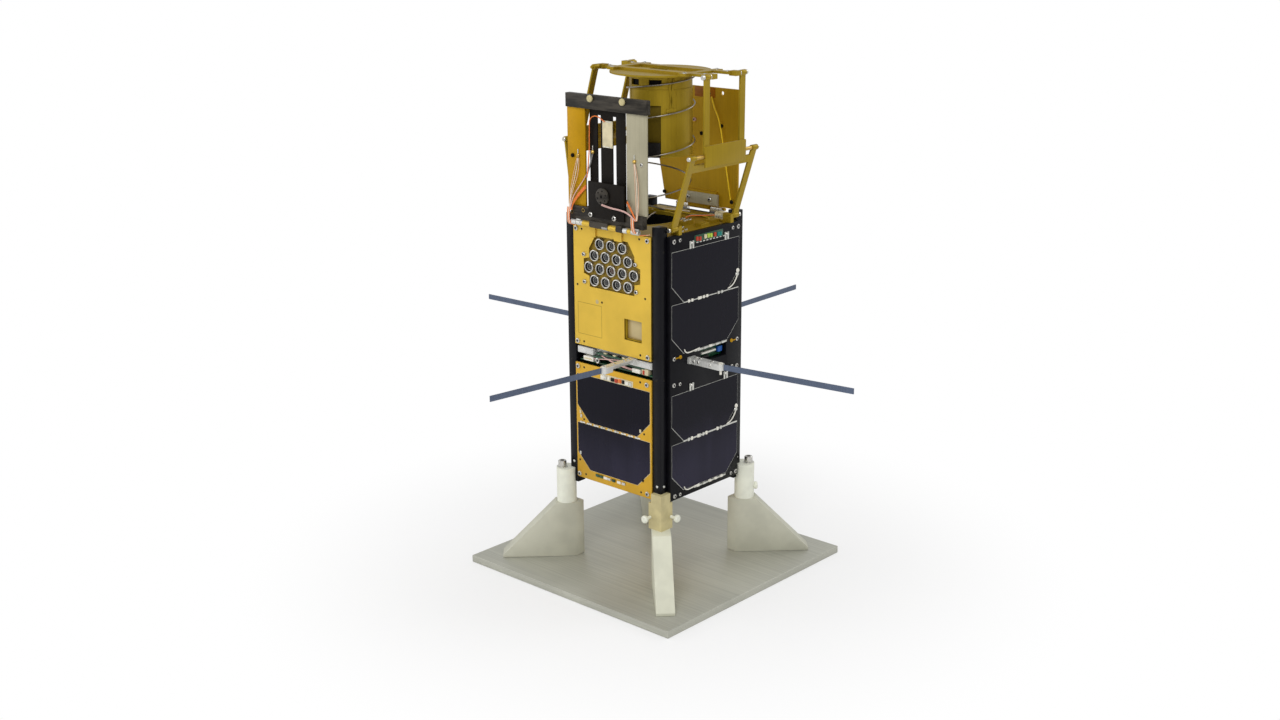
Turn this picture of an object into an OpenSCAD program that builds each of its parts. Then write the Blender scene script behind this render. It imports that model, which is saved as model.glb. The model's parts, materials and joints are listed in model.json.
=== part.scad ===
// Two-unit nanosatellite with a deployable telescope, on its display stand.
// Millimetres, +Z up.  The origin is the centre of the underside of the base plate.
// Side A faces -Y (sensors), side B +X, side C +Y and side D -X (solar panels).

/* [Stand] */
// Side of the square base plate
base_size = 220; // [200:1:260]
// Thickness of the base plate
base_t = 6; // [4:0.5:10]
// Thickness of each gusset leg
leg_t = 15; // [12:0.5:18]
// Height of the leg tops above the table
leg_top_z = 54; // [50:0.5:58]
// Distance of a leg's outer toe from the vertical axis
leg_toe_r = 129; // [120:1:134]

/* [Body] */
// Width of the body across two rails
body_w = 100; // [98:0.5:102]
// Height of the rail feet above the table
rail_z = 72; // [70:0.5:76]
// Length of the rails
rail_len = 227; // [224:0.5:230]
// Width of one rail
rail_w = 8.5; // [8:0.1:9]
// Depth of the deck below the rail tops
deck_drop = 7.5; // [6:0.5:9]

/* [Telescope] */
// Length of each link between its pivot axes
link_l = 59; // [58:0.25:60]
// Distance of the lower hinge axes from the middle
low_pivot_x = 52; // [51:0.25:53]
// Height of the lower hinge axes
low_pivot_z = 296.5; // [296:0.25:298]
// Place of the head frame's hinge axis on side B
head_x_b = 71; // [70:0.25:72]
// Place of the head frame's hinge axis on side D
head_x_d = -43; // [-44:0.25:-42]
// Height of the head frame's hinge axes
head_z = 411.5; // [411:0.25:412]
// Outer radius of the optics tube
tube_r = 24.5; // [23:0.25:25]
// Place of the optics tube along X
tube_x = 7; // [5:0.5:9]
// Place of the deck's round opening along X
hole_x = -14.3; // [-18:0.1:-12]
// Radius of the deck's round opening
hole_r = 31; // [30:0.5:32]

/* [Panels] */
// Height of the fold-out panels above their hinges
flap_h = 100.5; // [98:0.5:102]
// Width of the fold-out panels
flap_w = 84; // [80:0.5:86]

/* [Antennas] */
// Height of the antenna arms
ant_z = 189.5; // [187:0.5:190]
// Length of each antenna arm outside the body
arm_l = 34; // [30:1:38]

/* [Hidden] */
$fn = 48;

half_w = body_w / 2;
rail_top = rail_z + rail_len;
deck_z = rail_top - deck_drop;
deck_t = 3;
corner_signs = [[1, -1], [1, 1], [-1, 1], [-1, -1]];
joint_gap = 0.35;        // clearance between pieces that turn past each other
span_in = 2 * (half_w - rail_w);      // clear width between two rails
eye_r = 2.2;             // outer radius of a hinge barrel
pin_r = 1.2;             // radius of a hinge pin
pin_fit = 0.06;          // radial clearance of a hinge pin in its barrel

// Turns a shape drawn for the corner at (+,-) to corner number i
module at_corner(i) rotate([0, 0, 90 * i]) children();

// A box given by two opposite corners
module box(lo, hi) translate(lo) cube([hi[0] - lo[0], hi[1] - lo[1], hi[2] - lo[2]]);

// A straight cylinder along Y, from y0 to y1, with its axis through (x, z)
module bar_y(x, z, y0, y1, r) translate([x, y1, z]) rotate([90, 0, 0]) cylinder(r = r, h = y1 - y0);

// A straight cylinder along X, from x0 to x1, with its axis through (y, z)
module bar_x(y, z, x0, x1, r) translate([x0, y, z]) rotate([0, 90, 0]) cylinder(r = r, h = x1 - x0);

/* ---- stand ---- */

module base_plate() color("silver")
    box([-base_size / 2, -base_size / 2, 0], [base_size / 2, base_size / 2, base_t]);

// Gusset leg in the plane of the front corner's diagonal, with a square wedge for an inner end
leg_in_r = 60.5;         // distance of the wedge's edge from the vertical axis
leg_top_r = 84;          // radius where the slope starts
leg_toe_h = 2.5;         // height of the toe's small upright edge
module leg(i) color("honeydew") at_corner(i) rotate([0, 0, -45]) translate([0, 0, base_t]) intersection() {
    translate([0, leg_t / 2, 0]) rotate([90, 0, 0]) linear_extrude(leg_t)
        polygon([[leg_in_r, 0], [leg_toe_r, 0], [leg_toe_r, leg_toe_h],
                 [leg_top_r, leg_top_z - base_t], [leg_in_r, leg_top_z - base_t]]);
    translate([leg_in_r, 0, 0]) rotate([0, 0, -45]) cube([leg_toe_r, leg_toe_r, leg_top_z]);
}

// Nylon foot clamps: a square block on the front leg and round posts on the others,
// each with a pocket for its rail
clamp_top = 84;
clamp_in = 40;           // inner edge of the front clamp, from the middle
clamp_out = half_w + 3.5;
clamp_r = 8.2;           // radius of the round clamps
clamp_mid = 52.7;        // place of a round clamp's axis along both axes
panel_foot = 76;         // height above which the front clamp leaves room for the side panels
panel_room = half_w - 7.4;    // half width that the side panels need
cut = 1;                 // how far a cutting shape reaches past what it cuts
module clamp(i) color("ivory") at_corner(i) difference() {
    if (i == 0) box([clamp_in, -clamp_out, leg_top_z], [clamp_out, -clamp_in, clamp_top]);
    else translate([clamp_mid, -clamp_mid, leg_top_z]) cylinder(r = clamp_r, h = clamp_top - leg_top_z);
    box([clamp_in - cut, -half_w, rail_z], [half_w, -clamp_in + cut, clamp_top + cut]);
    box([clamp_in - cut, -clamp_out - cut, panel_foot], [panel_room, -half_w + cut, clamp_top + cut]);
    box([half_w - cut, -panel_room, panel_foot], [clamp_out + cut, -clamp_in + cut, clamp_top + cut]);
}

/* ---- body ---- */

module rail(i) color("dimgray") at_corner(i)
    box([half_w - rail_w, -half_w, rail_z], [half_w, -half_w + rail_w, rail_top]);

// Deck at the top of the body, with the round opening for the optics tube
deck_half = half_w - 0.5;
module deck() color("goldenrod") difference() {
    union() {
        box([-deck_half, -(half_w - rail_w), deck_z - deck_t], [deck_half, half_w - rail_w, deck_z]);
        box([-(half_w - rail_w), -deck_half, deck_z - deck_t], [half_w - rail_w, deck_half, deck_z]);
    }
    translate([hole_x, 0, deck_z - deck_t - 1]) cylinder(r = hole_r, h = deck_t + 2);
}

floor_z = rail_z + 5;
floor_t = 2;
module floor_plate() color("goldenrod") union() {
    box([-deck_half, -(half_w - rail_w), floor_z], [deck_half, half_w - rail_w, floor_z + floor_t]);
    box([-(half_w - rail_w), -deck_half, floor_z], [half_w - rail_w, deck_half, floor_z + floor_t]);
}

// Side A, upper half: gold plate with the sensor recess and the square window
a_out = half_w + 1;      // outer face of the panels on side A
a_half = 41.2;
sensor_z0 = 192.5;
sensor_z1 = 291;
recess_half = [[17.5, 284.3], [24.3, 273.5], [24.3, 266], [30.3, 264.5],
               [30.3, 252.5], [24.3, 251], [24, 242.3]];
recess = concat(recess_half,
                [for (i = [len(recess_half) - 1 : -1 : 0]) [-recess_half[i][0], recess_half[i][1]]]);
recess_depth = 2;
window_lo = [13, 205.5];      // corners of the square window, as x and z
window_hi = [31.5, 222.5];
window_depth = 3.5;
backing = [34, 200, 287, 3];  // block behind the plate: half width, bottom, top, depth
module sensor_panel() color("gold") difference() {
    union() {
        box([-a_half, -a_out, sensor_z0], [a_half, -deck_half, sensor_z1]);
        box([-backing[0], -deck_half, backing[1]], [backing[0], -deck_half + backing[3], backing[2]]);
    }
    translate([0, -a_out + recess_depth, 0]) rotate([90, 0, 0])
        linear_extrude(recess_depth + cut) polygon(recess);
    box([window_lo[0], -a_out - cut, window_lo[1]], [window_hi[0], -a_out + window_depth, window_hi[1]]);
}

// Rows of round sensors: height, then the place of each can along the row
can_rows = [[278.4, [-12, 0, 12]], [268.5, [-18, -6, 6, 18]],
            [258.4, [-24, -12, 0, 12, 24]], [248.3, [-18, -6, 6, 18]]];
can_r = 4.7;
can_h = 3.4;
module sensor_cans() color("lightgray") for (row = can_rows) for (x = row[1])
    translate([x, -a_out + recess_depth, row[0]]) rotate([90, 0, 0]) cylinder(r = can_r, h = can_h);

lower_z0 = 78;
lower_z1 = 177;
module lower_gold_panel() color("orange")
    box([-a_half, -a_out, lower_z0], [a_half, -deck_half, lower_z1]);

// Solar panels of the other three sides: one full-height board each
b_out = half_w + 3.5;
b_z0 = 76.5;
b_z1 = 291.5;
b_half = 42.3;
slot_y = [-6, 26];       // board slot at mid height
slot_z = [184, 195];
foam = [1.5, 0.1, 3];    // inner sheet of a solar panel: depth, overlap with the board, margin in height
foam_half = span_in / 2 - 0.5;
module solar_panel(turn) color("midnightblue") rotate([0, 0, turn]) difference() {
    union() {
        box([half_w + foam[1], -b_half, b_z0], [b_out, b_half, b_z1]);
        box([half_w - foam[0], -foam_half, b_z0 + foam[2]], [half_w + foam[1], foam_half, b_z1 - foam[2]]);
    }
    box([half_w - foam[0] - cut, slot_y[0], slot_z[0]], [b_out + cut, slot_y[1], slot_z[1]]);
}

// Stack of circuit boards that shows through the slots
stack_half = 39;
stack_z = [100, 118, 136, 154, 172, 181, 197];    // underside of each board
board_t = 1.6;
post = [34, 2.2, 131];   // stack post: place along both axes, radius, length
module electronics_stack() color("darkgreen") {
    for (z = stack_z) box([-stack_half, -stack_half, z], [stack_half, stack_half, z + board_t]);
    for (s = corner_signs) translate([s[0] * post[0], s[1] * post[0], floor_z + floor_t])
        cylinder(r = post[1], h = post[2]);
}

// Bars of the antenna module in the gap of side A: start and end along X
front_bars = [[-39, -22], [21, 41]];
bar_z = [185.5, 190.8];
bar_depth = [-0.5, 5, 8];     // outer face, inner face and back of the rear bar, inwards from the body's side
rear_drop = 1.5;              // how far the rear bar hangs below the front bars
module antenna_frame() color("lightgray") {
    for (b = front_bars)
        box([b[0], -half_w + bar_depth[0], bar_z[0]], [b[1], -half_w + bar_depth[1], bar_z[1]]);
    box([front_bars[0][0], -half_w + bar_depth[1], bar_z[0] - rear_drop],
        [front_bars[1][1], -half_w + bar_depth[2], bar_z[1]]);
}

/* ---- antennas ---- */
// side turn, place along the side, start of the arm, tape length from the arm's end, sideways lean of the tape
ANT = [[0, 22, half_w + 0.5, 108, -7], [90, -18, b_out, 115, 8],
       [180, 22, b_out, 142, 2], [270, -22, b_out, 132, 3]];
arm_w = 6;
arm_h = 5;
tape_w = 4.5;
tape_t = 0.8;
tape_in = 5;             // how deep a tape sits in the end of its arm
arm_wall = 1.2;          // wall of the arm's channel
foot = [1, 2];           // arm's foot: how far it is wider than the arm, and its thickness
arm_gap = 3;             // distance of the channel's inner end from the body
arm_end = half_w + arm_l;

module antenna_tape(i) color("slategray") rotate([0, 0, ANT[i][0]])
    translate([ANT[i][1], -arm_end, ant_z]) rotate([0, 0, ANT[i][4]])
        box([-tape_t / 2, -ANT[i][3], -tape_w / 2], [tape_t / 2, tape_in, tape_w / 2]);

module antenna_arm(x, start) {
    lo = ant_z - arm_h / 2;
    hi = ant_z + arm_h / 2;
    difference() {
        union() {
            box([x - arm_w / 2, -arm_end, lo], [x + arm_w / 2, -start, hi]);
            translate([x, -arm_end, lo]) cylinder(r = arm_w / 2, h = arm_h);
            box([x - arm_w / 2 - foot[0], -start - foot[1], lo], [x + arm_w / 2 + foot[0], -start, hi]);
        }
        box([x - arm_w / 2 + arm_wall, -arm_end + tape_in + foot[1], lo - cut],
            [x + arm_w / 2 + cut, -start - arm_gap, hi - arm_wall]);
    }
}

module antenna_arms() color("lightsteelblue") difference() {
    for (a = ANT) rotate([0, 0, a[0]]) antenna_arm(a[1], a[2]);
    for (i = [0 : len(ANT) - 1]) antenna_tape(i);
}

/* ---- telescope mechanism ---- */

// Link angles at rest, from the triangle of the two links and the line between their end axes
rise = head_z - low_pivot_z;
run_b = head_x_b - low_pivot_x;             // outward run on side B
run_d = -head_x_d - low_pivot_x;            // outward run on side D
function half_apex(run) = acos(norm([run, rise]) / (2 * link_l));
low_b = half_apex(run_b) + atan(run_b / rise);    // lean of the lower link from the vertical, outward
up_b = half_apex(run_b) - atan(run_b / rise);     // lean of the upper link, inward going up
low_d = half_apex(run_d) + atan(run_d / rise);
up_d = half_apex(run_d) - atan(run_d / rise);
knee_b = [low_pivot_x + link_l * sin(low_b), low_pivot_z + link_l * cos(low_b)];
knee_d = [-low_pivot_x - link_l * sin(low_d), low_pivot_z + link_l * cos(low_d)];

strip_t = 1.6;
strip_in = 0.6;              // how far a leg's strip runs into its barrels
low_leg_y = [33.5, 40];      // the lower link's legs, either side of the middle
up_leg_y = [18, 24];         // the upper link's legs
low_bar = [47, 53.3];        // crossbar, measured along the link from its lower axis
plate_half = 8;              // half height of the upper link's knee plate
knee_pin_y = [19, 38];       // ends of the pins at the knees
top_pin_y = [17.4, 26];      // ends of the loose pins at the top of the link on side D

// The two legs of a link, with a barrel at each end
module legs(y) for (s = [0, 1]) mirror([0, s, 0]) {
    box([-strip_t / 2, y[0], eye_r - strip_in], [strip_t / 2, y[1], link_l - eye_r + strip_in]);
    for (z = [0, link_l]) bar_y(0, z, y[0], y[1], eye_r);
}

// Both bores of a barrel pair, from side to side
module bore(z, y) bar_y(0, z, -y - cut, y + cut, pin_r + pin_fit);

// A pair of pins, either side of the middle
module pins(z, y) for (s = [0, 1]) mirror([0, s, 0]) bar_y(0, z, y[0], y[1], pin_r);

// Lower link, drawn upright with its lower axis on the origin, outer side +X
module lower_link_shape() {
    difference() {
        union() {
            legs(low_leg_y);
            box([-strip_t / 2, -low_leg_y[0] - cut, low_bar[0]],
                [strip_t / 2, low_leg_y[0] + cut, low_bar[1]]);
        }
        bore(0, low_leg_y[1]);
    }
    pins(link_l, knee_pin_y);
}

// Upper link, drawn upright with its knee axis on the origin, outer side +X
module upper_link_shape(bores) difference() {
    union() {
        legs(up_leg_y);
        box([strip_t / 2, -up_leg_y[1], -plate_half], [strip_t / 2 + strip_t, up_leg_y[1], plate_half]);
    }
    for (z = bores) bore(z, up_leg_y[1]);
}

module lower_link_b() color("darkgoldenrod")
    translate([low_pivot_x, 0, low_pivot_z]) rotate([0, low_b, 0]) lower_link_shape();
module upper_link_b() color("darkgoldenrod")
    translate([knee_b[0], 0, knee_b[1]]) rotate([0, -up_b, 0]) upper_link_shape([0, link_l]);
module lower_link_d() color("darkgoldenrod")
    translate([-low_pivot_x, 0, low_pivot_z]) rotate([0, low_d, 180]) lower_link_shape();
module upper_link_d() color("darkgoldenrod") translate([knee_d[0], 0, knee_d[1]]) rotate([0, -up_d, 180]) {
    upper_link_shape([0]);
    pins(link_l, top_pin_y);
}

// Fixed pins of the four lower hinges, with their blocks on the deck
block_w = 4;             // width of a hinge block along Y
block_x = [-6, 2];       // its inner and outer faces from the hinge axis
block_over = 2;          // how far it reaches above the hinge axis
pin_over = 1.5;          // how far the pin stands out of the barrel
module link_hinges() color("gray") for (turn = [0, 180], t = [0, 1]) rotate([0, 0, turn]) mirror([0, t, 0]) {
    bar_y(low_pivot_x, low_pivot_z, low_leg_y[0] - block_w, low_leg_y[1] + pin_over, pin_r);
    box([low_pivot_x + block_x[0], low_leg_y[0] - block_w, deck_z],
        [low_pivot_x + block_x[1], low_leg_y[0] - joint_gap, low_pivot_z + block_over]);
}

// Head frame: two bars along X, cross bars, hinge ears and the round flange below
head_bar_y = [10, 16.5];
head_under = head_z - 1;     // underside of the bars
head_t = 2;
head_set = 3;                // how far the bars stop short of the hinge axes
cross = [7, 22];             // cross bar: width and half length
cross_x = [-30, 44];         // where each cross bar starts
ear_y = [11, 17];
ear_half = 1.9;              // half height of a hinge ear
ear_reach = [2, 5];          // how far an ear reaches past the axis and back to the bars
head_pin_y = [ear_y[1] - cut, 26];
flange_r = 40;
flange_t = 1.2;
aperture = [[-9, 1.5], [9, 9.5]];    // opening in the flange: two corners, as x and y
module head_frame() color("goldenrod") {
    difference() {
        union() {
            for (s = [0, 1]) mirror([0, s, 0])
                box([head_x_d + head_set, head_bar_y[0], head_under],
                    [head_x_b - head_set, head_bar_y[1], head_under + head_t]);
            for (x = cross_x) box([x, -cross[1], head_under], [x + cross[0], cross[1], head_under + head_t]);
            translate([tube_x, 0, head_under - flange_t]) cylinder(r = flange_r, h = flange_t);
        }
        box([aperture[0][0], aperture[0][1], head_under - flange_t - cut],
            [aperture[1][0], aperture[1][1], head_under + head_t + cut]);
    }
    for (s = [0, 1]) mirror([0, s, 0]) {
        box([head_x_b - ear_reach[1], ear_y[0], head_z - ear_half],
            [head_x_b + ear_reach[0], ear_y[1], head_z + ear_half]);
        box([head_x_d - ear_reach[0], ear_y[0], head_z - ear_half],
            [head_x_d + ear_reach[1], ear_y[1], head_z + ear_half]);
        bar_y(head_x_b, head_z, head_pin_y[0], head_pin_y[1], pin_r);
    }
}

// Optics tube, open at both ends, with wide windows under the flange and a notch beside side B
tube_z0 = 346;
tube_z1 = head_under - flange_t;
tube_wall = 1.5;
tube_window = [10, 4.6, 401];    // window: width, height, sill height
window_turns = [-104, -59, 76, 121];   // directions of the windows round the tube, from +X
notch_turn = -64;                // direction of the notch
notch = [6.5, 349, 386];         // notch: half width, bottom, top
module optics_tube() color("darkgoldenrod") translate([tube_x, 0, 0]) difference() {
    translate([0, 0, tube_z0]) cylinder(r = tube_r, h = tube_z1 - tube_z0, $fn = 64);
    translate([0, 0, tube_z0 - cut])
        cylinder(r = tube_r - tube_wall, h = tube_z1 - tube_z0 + 2 * cut, $fn = 64);
    for (a = window_turns) rotate([0, 0, a])
        box([tube_r / 2, -tube_window[0] / 2, tube_window[2]],
            [tube_r + cut, tube_window[0] / 2, tube_window[2] + tube_window[1]]);
    rotate([0, 0, notch_turn]) box([tube_r / 2, -notch[0], notch[1]], [tube_r + cut, notch[0], notch[2]]);
}

// Wire spring between the deck and the flange, wound closer towards the flange
spring_r = 27;
spring_turns = 4;
spring_z = [deck_z + 1, head_z - 3.2];   // middle of the wire at both ends
spring_power = 1.3;      // how much closer the upper turns are
foot_flare = 5.5;        // how much wider the spring's foot is, to stand round the opening
wire_r = 0.6;
steps = 22;
spring_start = 95;       // direction of the wire's foot from +X
drift_part = 0.3;        // share of the spring's height over which its foot leans to the opening
function foot_share(t) = max(0, 1 - t / drift_part);
function spring_x(t) = tube_x - (tube_x - hole_x) * foot_share(t);
function spring_h(t) = spring_z[0] + (spring_z[1] - spring_z[0]) * (1 - pow(1 - t, spring_power));
function spring_a(k) = spring_start + 360 * k / steps;
function spring_pt(k) =
    let (t = k / (steps * spring_turns), a = spring_a(k), r = spring_r + foot_flare * foot_share(t))
    [spring_x(t) + r * cos(a), r * sin(a), spring_h(t)];
ring_n = 6;
function ring(k) = let (p = spring_pt(k), a = spring_a(k))
    [for (j = [0 : ring_n - 1]) let (c = 360 * j / ring_n)
        p + wire_r * (cos(c) * [cos(a), sin(a), 0] + [0, 0, sin(c)])];
function quad(k, j) = let (a = k * ring_n + j, b = k * ring_n + (j + 1) % ring_n)
    [[a, b + ring_n, b], [a, a + ring_n, b + ring_n]];
module spring() color("gray") {
    n = steps * spring_turns;
    pts = [for (k = [0 : n]) each ring(k)];
    side = [for (k = [0 : n - 1]) for (j = [0 : ring_n - 1]) each quad(k, j)];
    foot_cap = [for (j = [0 : ring_n - 1]) j];
    top_cap = [for (j = [ring_n - 1 : -1 : 0]) n * ring_n + j];
    polyhedron(points = pts, faces = concat(side, [foot_cap, top_cap]));
}

// Small fittings on the deck: start and end along X, start and end along Y, height
fittings = [[33, 42, 35, 41, 5.5], [22, 33, -3, 9, 3], [36, 44, 18, 28, 2.5], [40, 47, 2, 12, 2.5]];
module deck_fittings() color("darkgoldenrod") for (f = fittings)
    box([f[0], f[2], deck_z], [f[1], f[3], deck_z + f[4]]);

/* ---- fold-out panels ---- */
flap_y = -54;                // middle of the front panel's frame
flap_hinge = [-57, 294.5];   // front panel's hinge axis, as y and z
flap_z0 = 297;               // underside of both fold-out panels
bar_t = 5;                   // thickness of the front panel's two bars
base_bar = [38, 10.5];       // lower bar: half width and height
top_bar_h = 10.8;
strip_edge = [-23, 20.5];    // inner edges of the gold and the silver strip
sheet_t = 1.6;               // thickness of the strips and of the back panel
knuckle_w = 8;
fixed_knuckles = [-24, 4];           // where the fixed knuckles start
moving_knuckles = [[-15.6, 3.6], [12.4, 18.4]];    // start and end of each knuckle of the panel
front_pin = [-29, 19];
leaf_drop = 7.5;             // how far a hinge leaf reaches down side A
leaf_t = 1.2;
leaf_under = 0.7;            // distance of a leaf's top from the hinge axis
module front_panel_hinge() color("silver") for (x = fixed_knuckles) difference() {
    union() {
        bar_x(flap_hinge[0], flap_hinge[1], x, x + knuckle_w, eye_r);
        box([x, flap_hinge[0], flap_hinge[1] - eye_r],
            [x + knuckle_w, -a_out + 0.5, flap_hinge[1] - leaf_under]);
        box([x, -a_out - leaf_t, sensor_z1 - leaf_drop], [x + knuckle_w, -a_out, flap_hinge[1] - leaf_under]);
    }
    bar_x(flap_hinge[0], flap_hinge[1], x - cut, x + knuckle_w + cut, pin_r + pin_fit);
}

flap_top = flap_hinge[1] + flap_h;
flap_mid = [flap_z0 + base_bar[1], flap_top - top_bar_h];    // free height between the two bars

module front_panel_base_bar() color("dimgray") {
    box([-base_bar[0], flap_y - bar_t / 2, flap_z0], [base_bar[0], flap_y + bar_t / 2, flap_mid[0]]);
    bar_x(flap_hinge[0], flap_hinge[1], front_pin[0], front_pin[1], pin_r);
    for (k = moving_knuckles) {
        bar_x(flap_hinge[0], flap_hinge[1], k[0], k[1], eye_r);
        box([k[0], flap_hinge[0] - eye_r, flap_hinge[1] - 0.2], [k[1], flap_y, flap_z0 + 1]);
    }
}

module front_panel_top_bar() color("dimgray")
    box([-flap_w / 2, flap_y - bar_t / 2, flap_mid[1]], [flap_w / 2, flap_y + bar_t / 2, flap_top]);

module front_panel_gold_strip() color("goldenrod")
    box([-flap_w / 2, flap_y - sheet_t / 2, flap_mid[0]], [strip_edge[0], flap_y + sheet_t / 2, flap_mid[1]]);

module front_panel_silver_strip() color("silver")
    box([strip_edge[1], flap_y - sheet_t / 2, flap_mid[0]],
        [flap_w / 2 - 1, flap_y + sheet_t / 2, flap_mid[1]]);

// Black board behind the two bars, with two long slots, and a plate on the lower bar's face
board_x = [-21, 16.2];
board_z = [298, 390];
panel_board_t = 1.2;
slot_x = [-13, 3];           // where each slot starts
board_slot = [3.7, 327.5, 379.5];    // slot: width, bottom, top
module front_panel_board() color("black") difference() {
    box([board_x[0], flap_y + bar_t / 2, board_z[0]], [board_x[1], flap_y + bar_t / 2 + panel_board_t, board_z[1]]);
    for (x = slot_x) box([x, flap_y, board_slot[1]], [x + board_slot[0], flap_y + bar_t, board_slot[2]]);
}

low_plate = [[-17.2, 301], [20.5, 329]];     // lower left and upper right corner, as x and z
low_plate_t = 1.8;
module front_panel_plate() color("black")
    box([low_plate[0][0], flap_y - bar_t / 2 - low_plate_t, low_plate[0][1]],
        [low_plate[1][0], flap_y - bar_t / 2, low_plate[1][1]]);

disc = [-1.2, 318.6, 6.8, 2];    // round sensor: x, z, radius, height
module front_panel_disc() color("dimgray") translate([disc[0], flap_y - bar_t / 2 - low_plate_t, disc[1]])
    rotate([90, 0, 0]) cylinder(r = disc[2], h = disc[3]);

back_y = 53.5;               // middle of the back panel's sheet
back_hinge = [57, 294.5];
back_top = back_hinge[1] + flap_h - 2;
back_knuckles = [[-24, -12], [12, 24]];
back_pin = 26;               // half length of the pin
back_barrel = 11;            // half length of the panel's own barrel
bracket = [-14, 21, 12];     // bracket on the sheet: start, end, height
module back_panel_hinge() color("gray") for (k = back_knuckles) difference() {
    union() {
        bar_x(back_hinge[0], back_hinge[1], k[0], k[1], eye_r);
        box([k[0], b_out + 0.05, back_hinge[1] - 5], [k[1], back_hinge[0], back_hinge[1] - leaf_under]);
    }
    bar_x(back_hinge[0], back_hinge[1], k[0] - cut, k[1] + cut, pin_r + pin_fit);
}
back_slant = [7, 35];        // slanted lower corner beside side D: width and height
back_hole = [25.5, 389, 1.6];    // hole near the top: x, z, radius
module back_panel() color("darkgoldenrod") {
    difference() {
        translate([0, back_y + sheet_t / 2, flap_z0]) rotate([90, 0, 0]) linear_extrude(sheet_t)
            polygon([[-flap_w / 2 + back_slant[0], 0], [flap_w / 2, 0], [flap_w / 2, back_top - flap_z0],
                     [-flap_w / 2, back_top - flap_z0], [-flap_w / 2, back_slant[1]]]);
        bar_y(back_hole[0], back_hole[1], back_y - sheet_t, back_y + sheet_t, back_hole[2]);
    }
    box([bracket[0], back_y - 1.5 * sheet_t, flap_z0],
        [bracket[1], back_y - sheet_t / 2, flap_z0 + bracket[2]]);
    bar_x(back_hinge[0], back_hinge[1], -back_pin, back_pin, pin_r);
    box([-back_barrel, back_y, back_hinge[1] - 0.2], [back_barrel, back_hinge[0] + eye_r, flap_z0 + 0.5]);
    bar_x(back_hinge[0], back_hinge[1], -back_barrel, back_barrel, eye_r);
}

base_plate();
leg(0);  // leg_front
leg(1);  // leg_right
leg(2);  // leg_back
leg(3);  // leg_left
clamp(0);  // clamp_front
clamp(1);  // clamp_right
clamp(2);  // clamp_back
clamp(3);  // clamp_left
rail(0);  // rail_front
rail(1);  // rail_right
rail(2);  // rail_back
rail(3);  // rail_left
deck();
floor_plate();
sensor_panel();
sensor_cans();
lower_gold_panel();
solar_panel(0);  // solar_panel_b
solar_panel(90);  // solar_panel_c
solar_panel(180);  // solar_panel_d
electronics_stack();
antenna_frame();
antenna_arms();
antenna_tape(0);  // antenna_tape_a
antenna_tape(1);  // antenna_tape_b
antenna_tape(2);  // antenna_tape_c
antenna_tape(3);  // antenna_tape_d
deck_fittings();
link_hinges();
lower_link_b();
upper_link_b();
lower_link_d();
upper_link_d();
head_frame();
optics_tube();
spring();
front_panel_hinge();
front_panel_base_bar();
front_panel_top_bar();
front_panel_gold_strip();
front_panel_silver_strip();
front_panel_board();
front_panel_plate();
front_panel_disc();
back_panel_hinge();
back_panel();
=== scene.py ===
"""Looks of a two-unit nanosatellite on its display stand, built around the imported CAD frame."""

import json
import math
import random

import bmesh
import bpy
from bpy.props import FloatProperty, FloatVectorProperty, PointerProperty
from mathutils import Matrix, Vector

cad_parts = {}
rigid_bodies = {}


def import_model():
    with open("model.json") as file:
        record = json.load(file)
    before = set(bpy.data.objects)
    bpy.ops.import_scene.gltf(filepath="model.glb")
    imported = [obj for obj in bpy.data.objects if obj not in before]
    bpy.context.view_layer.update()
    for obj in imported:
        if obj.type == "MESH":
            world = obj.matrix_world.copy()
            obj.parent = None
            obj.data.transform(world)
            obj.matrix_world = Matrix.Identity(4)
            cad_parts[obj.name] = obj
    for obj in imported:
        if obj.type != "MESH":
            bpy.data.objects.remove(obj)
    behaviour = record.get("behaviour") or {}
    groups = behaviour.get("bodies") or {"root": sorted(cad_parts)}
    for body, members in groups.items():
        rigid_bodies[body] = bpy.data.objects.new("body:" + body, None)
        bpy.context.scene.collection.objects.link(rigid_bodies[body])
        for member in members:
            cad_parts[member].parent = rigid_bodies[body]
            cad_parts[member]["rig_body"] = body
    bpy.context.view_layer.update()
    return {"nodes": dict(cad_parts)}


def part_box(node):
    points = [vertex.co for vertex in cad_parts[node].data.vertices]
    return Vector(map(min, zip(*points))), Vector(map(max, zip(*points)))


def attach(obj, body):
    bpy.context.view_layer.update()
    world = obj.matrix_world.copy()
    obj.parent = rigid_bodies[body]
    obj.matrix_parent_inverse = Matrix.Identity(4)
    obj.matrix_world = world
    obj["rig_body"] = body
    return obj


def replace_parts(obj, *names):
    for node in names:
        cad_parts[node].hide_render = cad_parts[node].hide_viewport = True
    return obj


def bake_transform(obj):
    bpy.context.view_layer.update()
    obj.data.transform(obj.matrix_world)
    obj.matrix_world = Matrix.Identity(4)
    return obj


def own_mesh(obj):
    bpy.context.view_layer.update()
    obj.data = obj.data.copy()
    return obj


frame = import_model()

bl_info = {
    "name": "Nanosatellite finish",
    "version": (1, 0, 0),
    "blender": (4, 5, 0),
    "location": "3D View > Sidebar > Nanosatellite",
    "description": "Details and finishes for a two-unit nanosatellite on its stand",
    "category": "Object",
}

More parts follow.
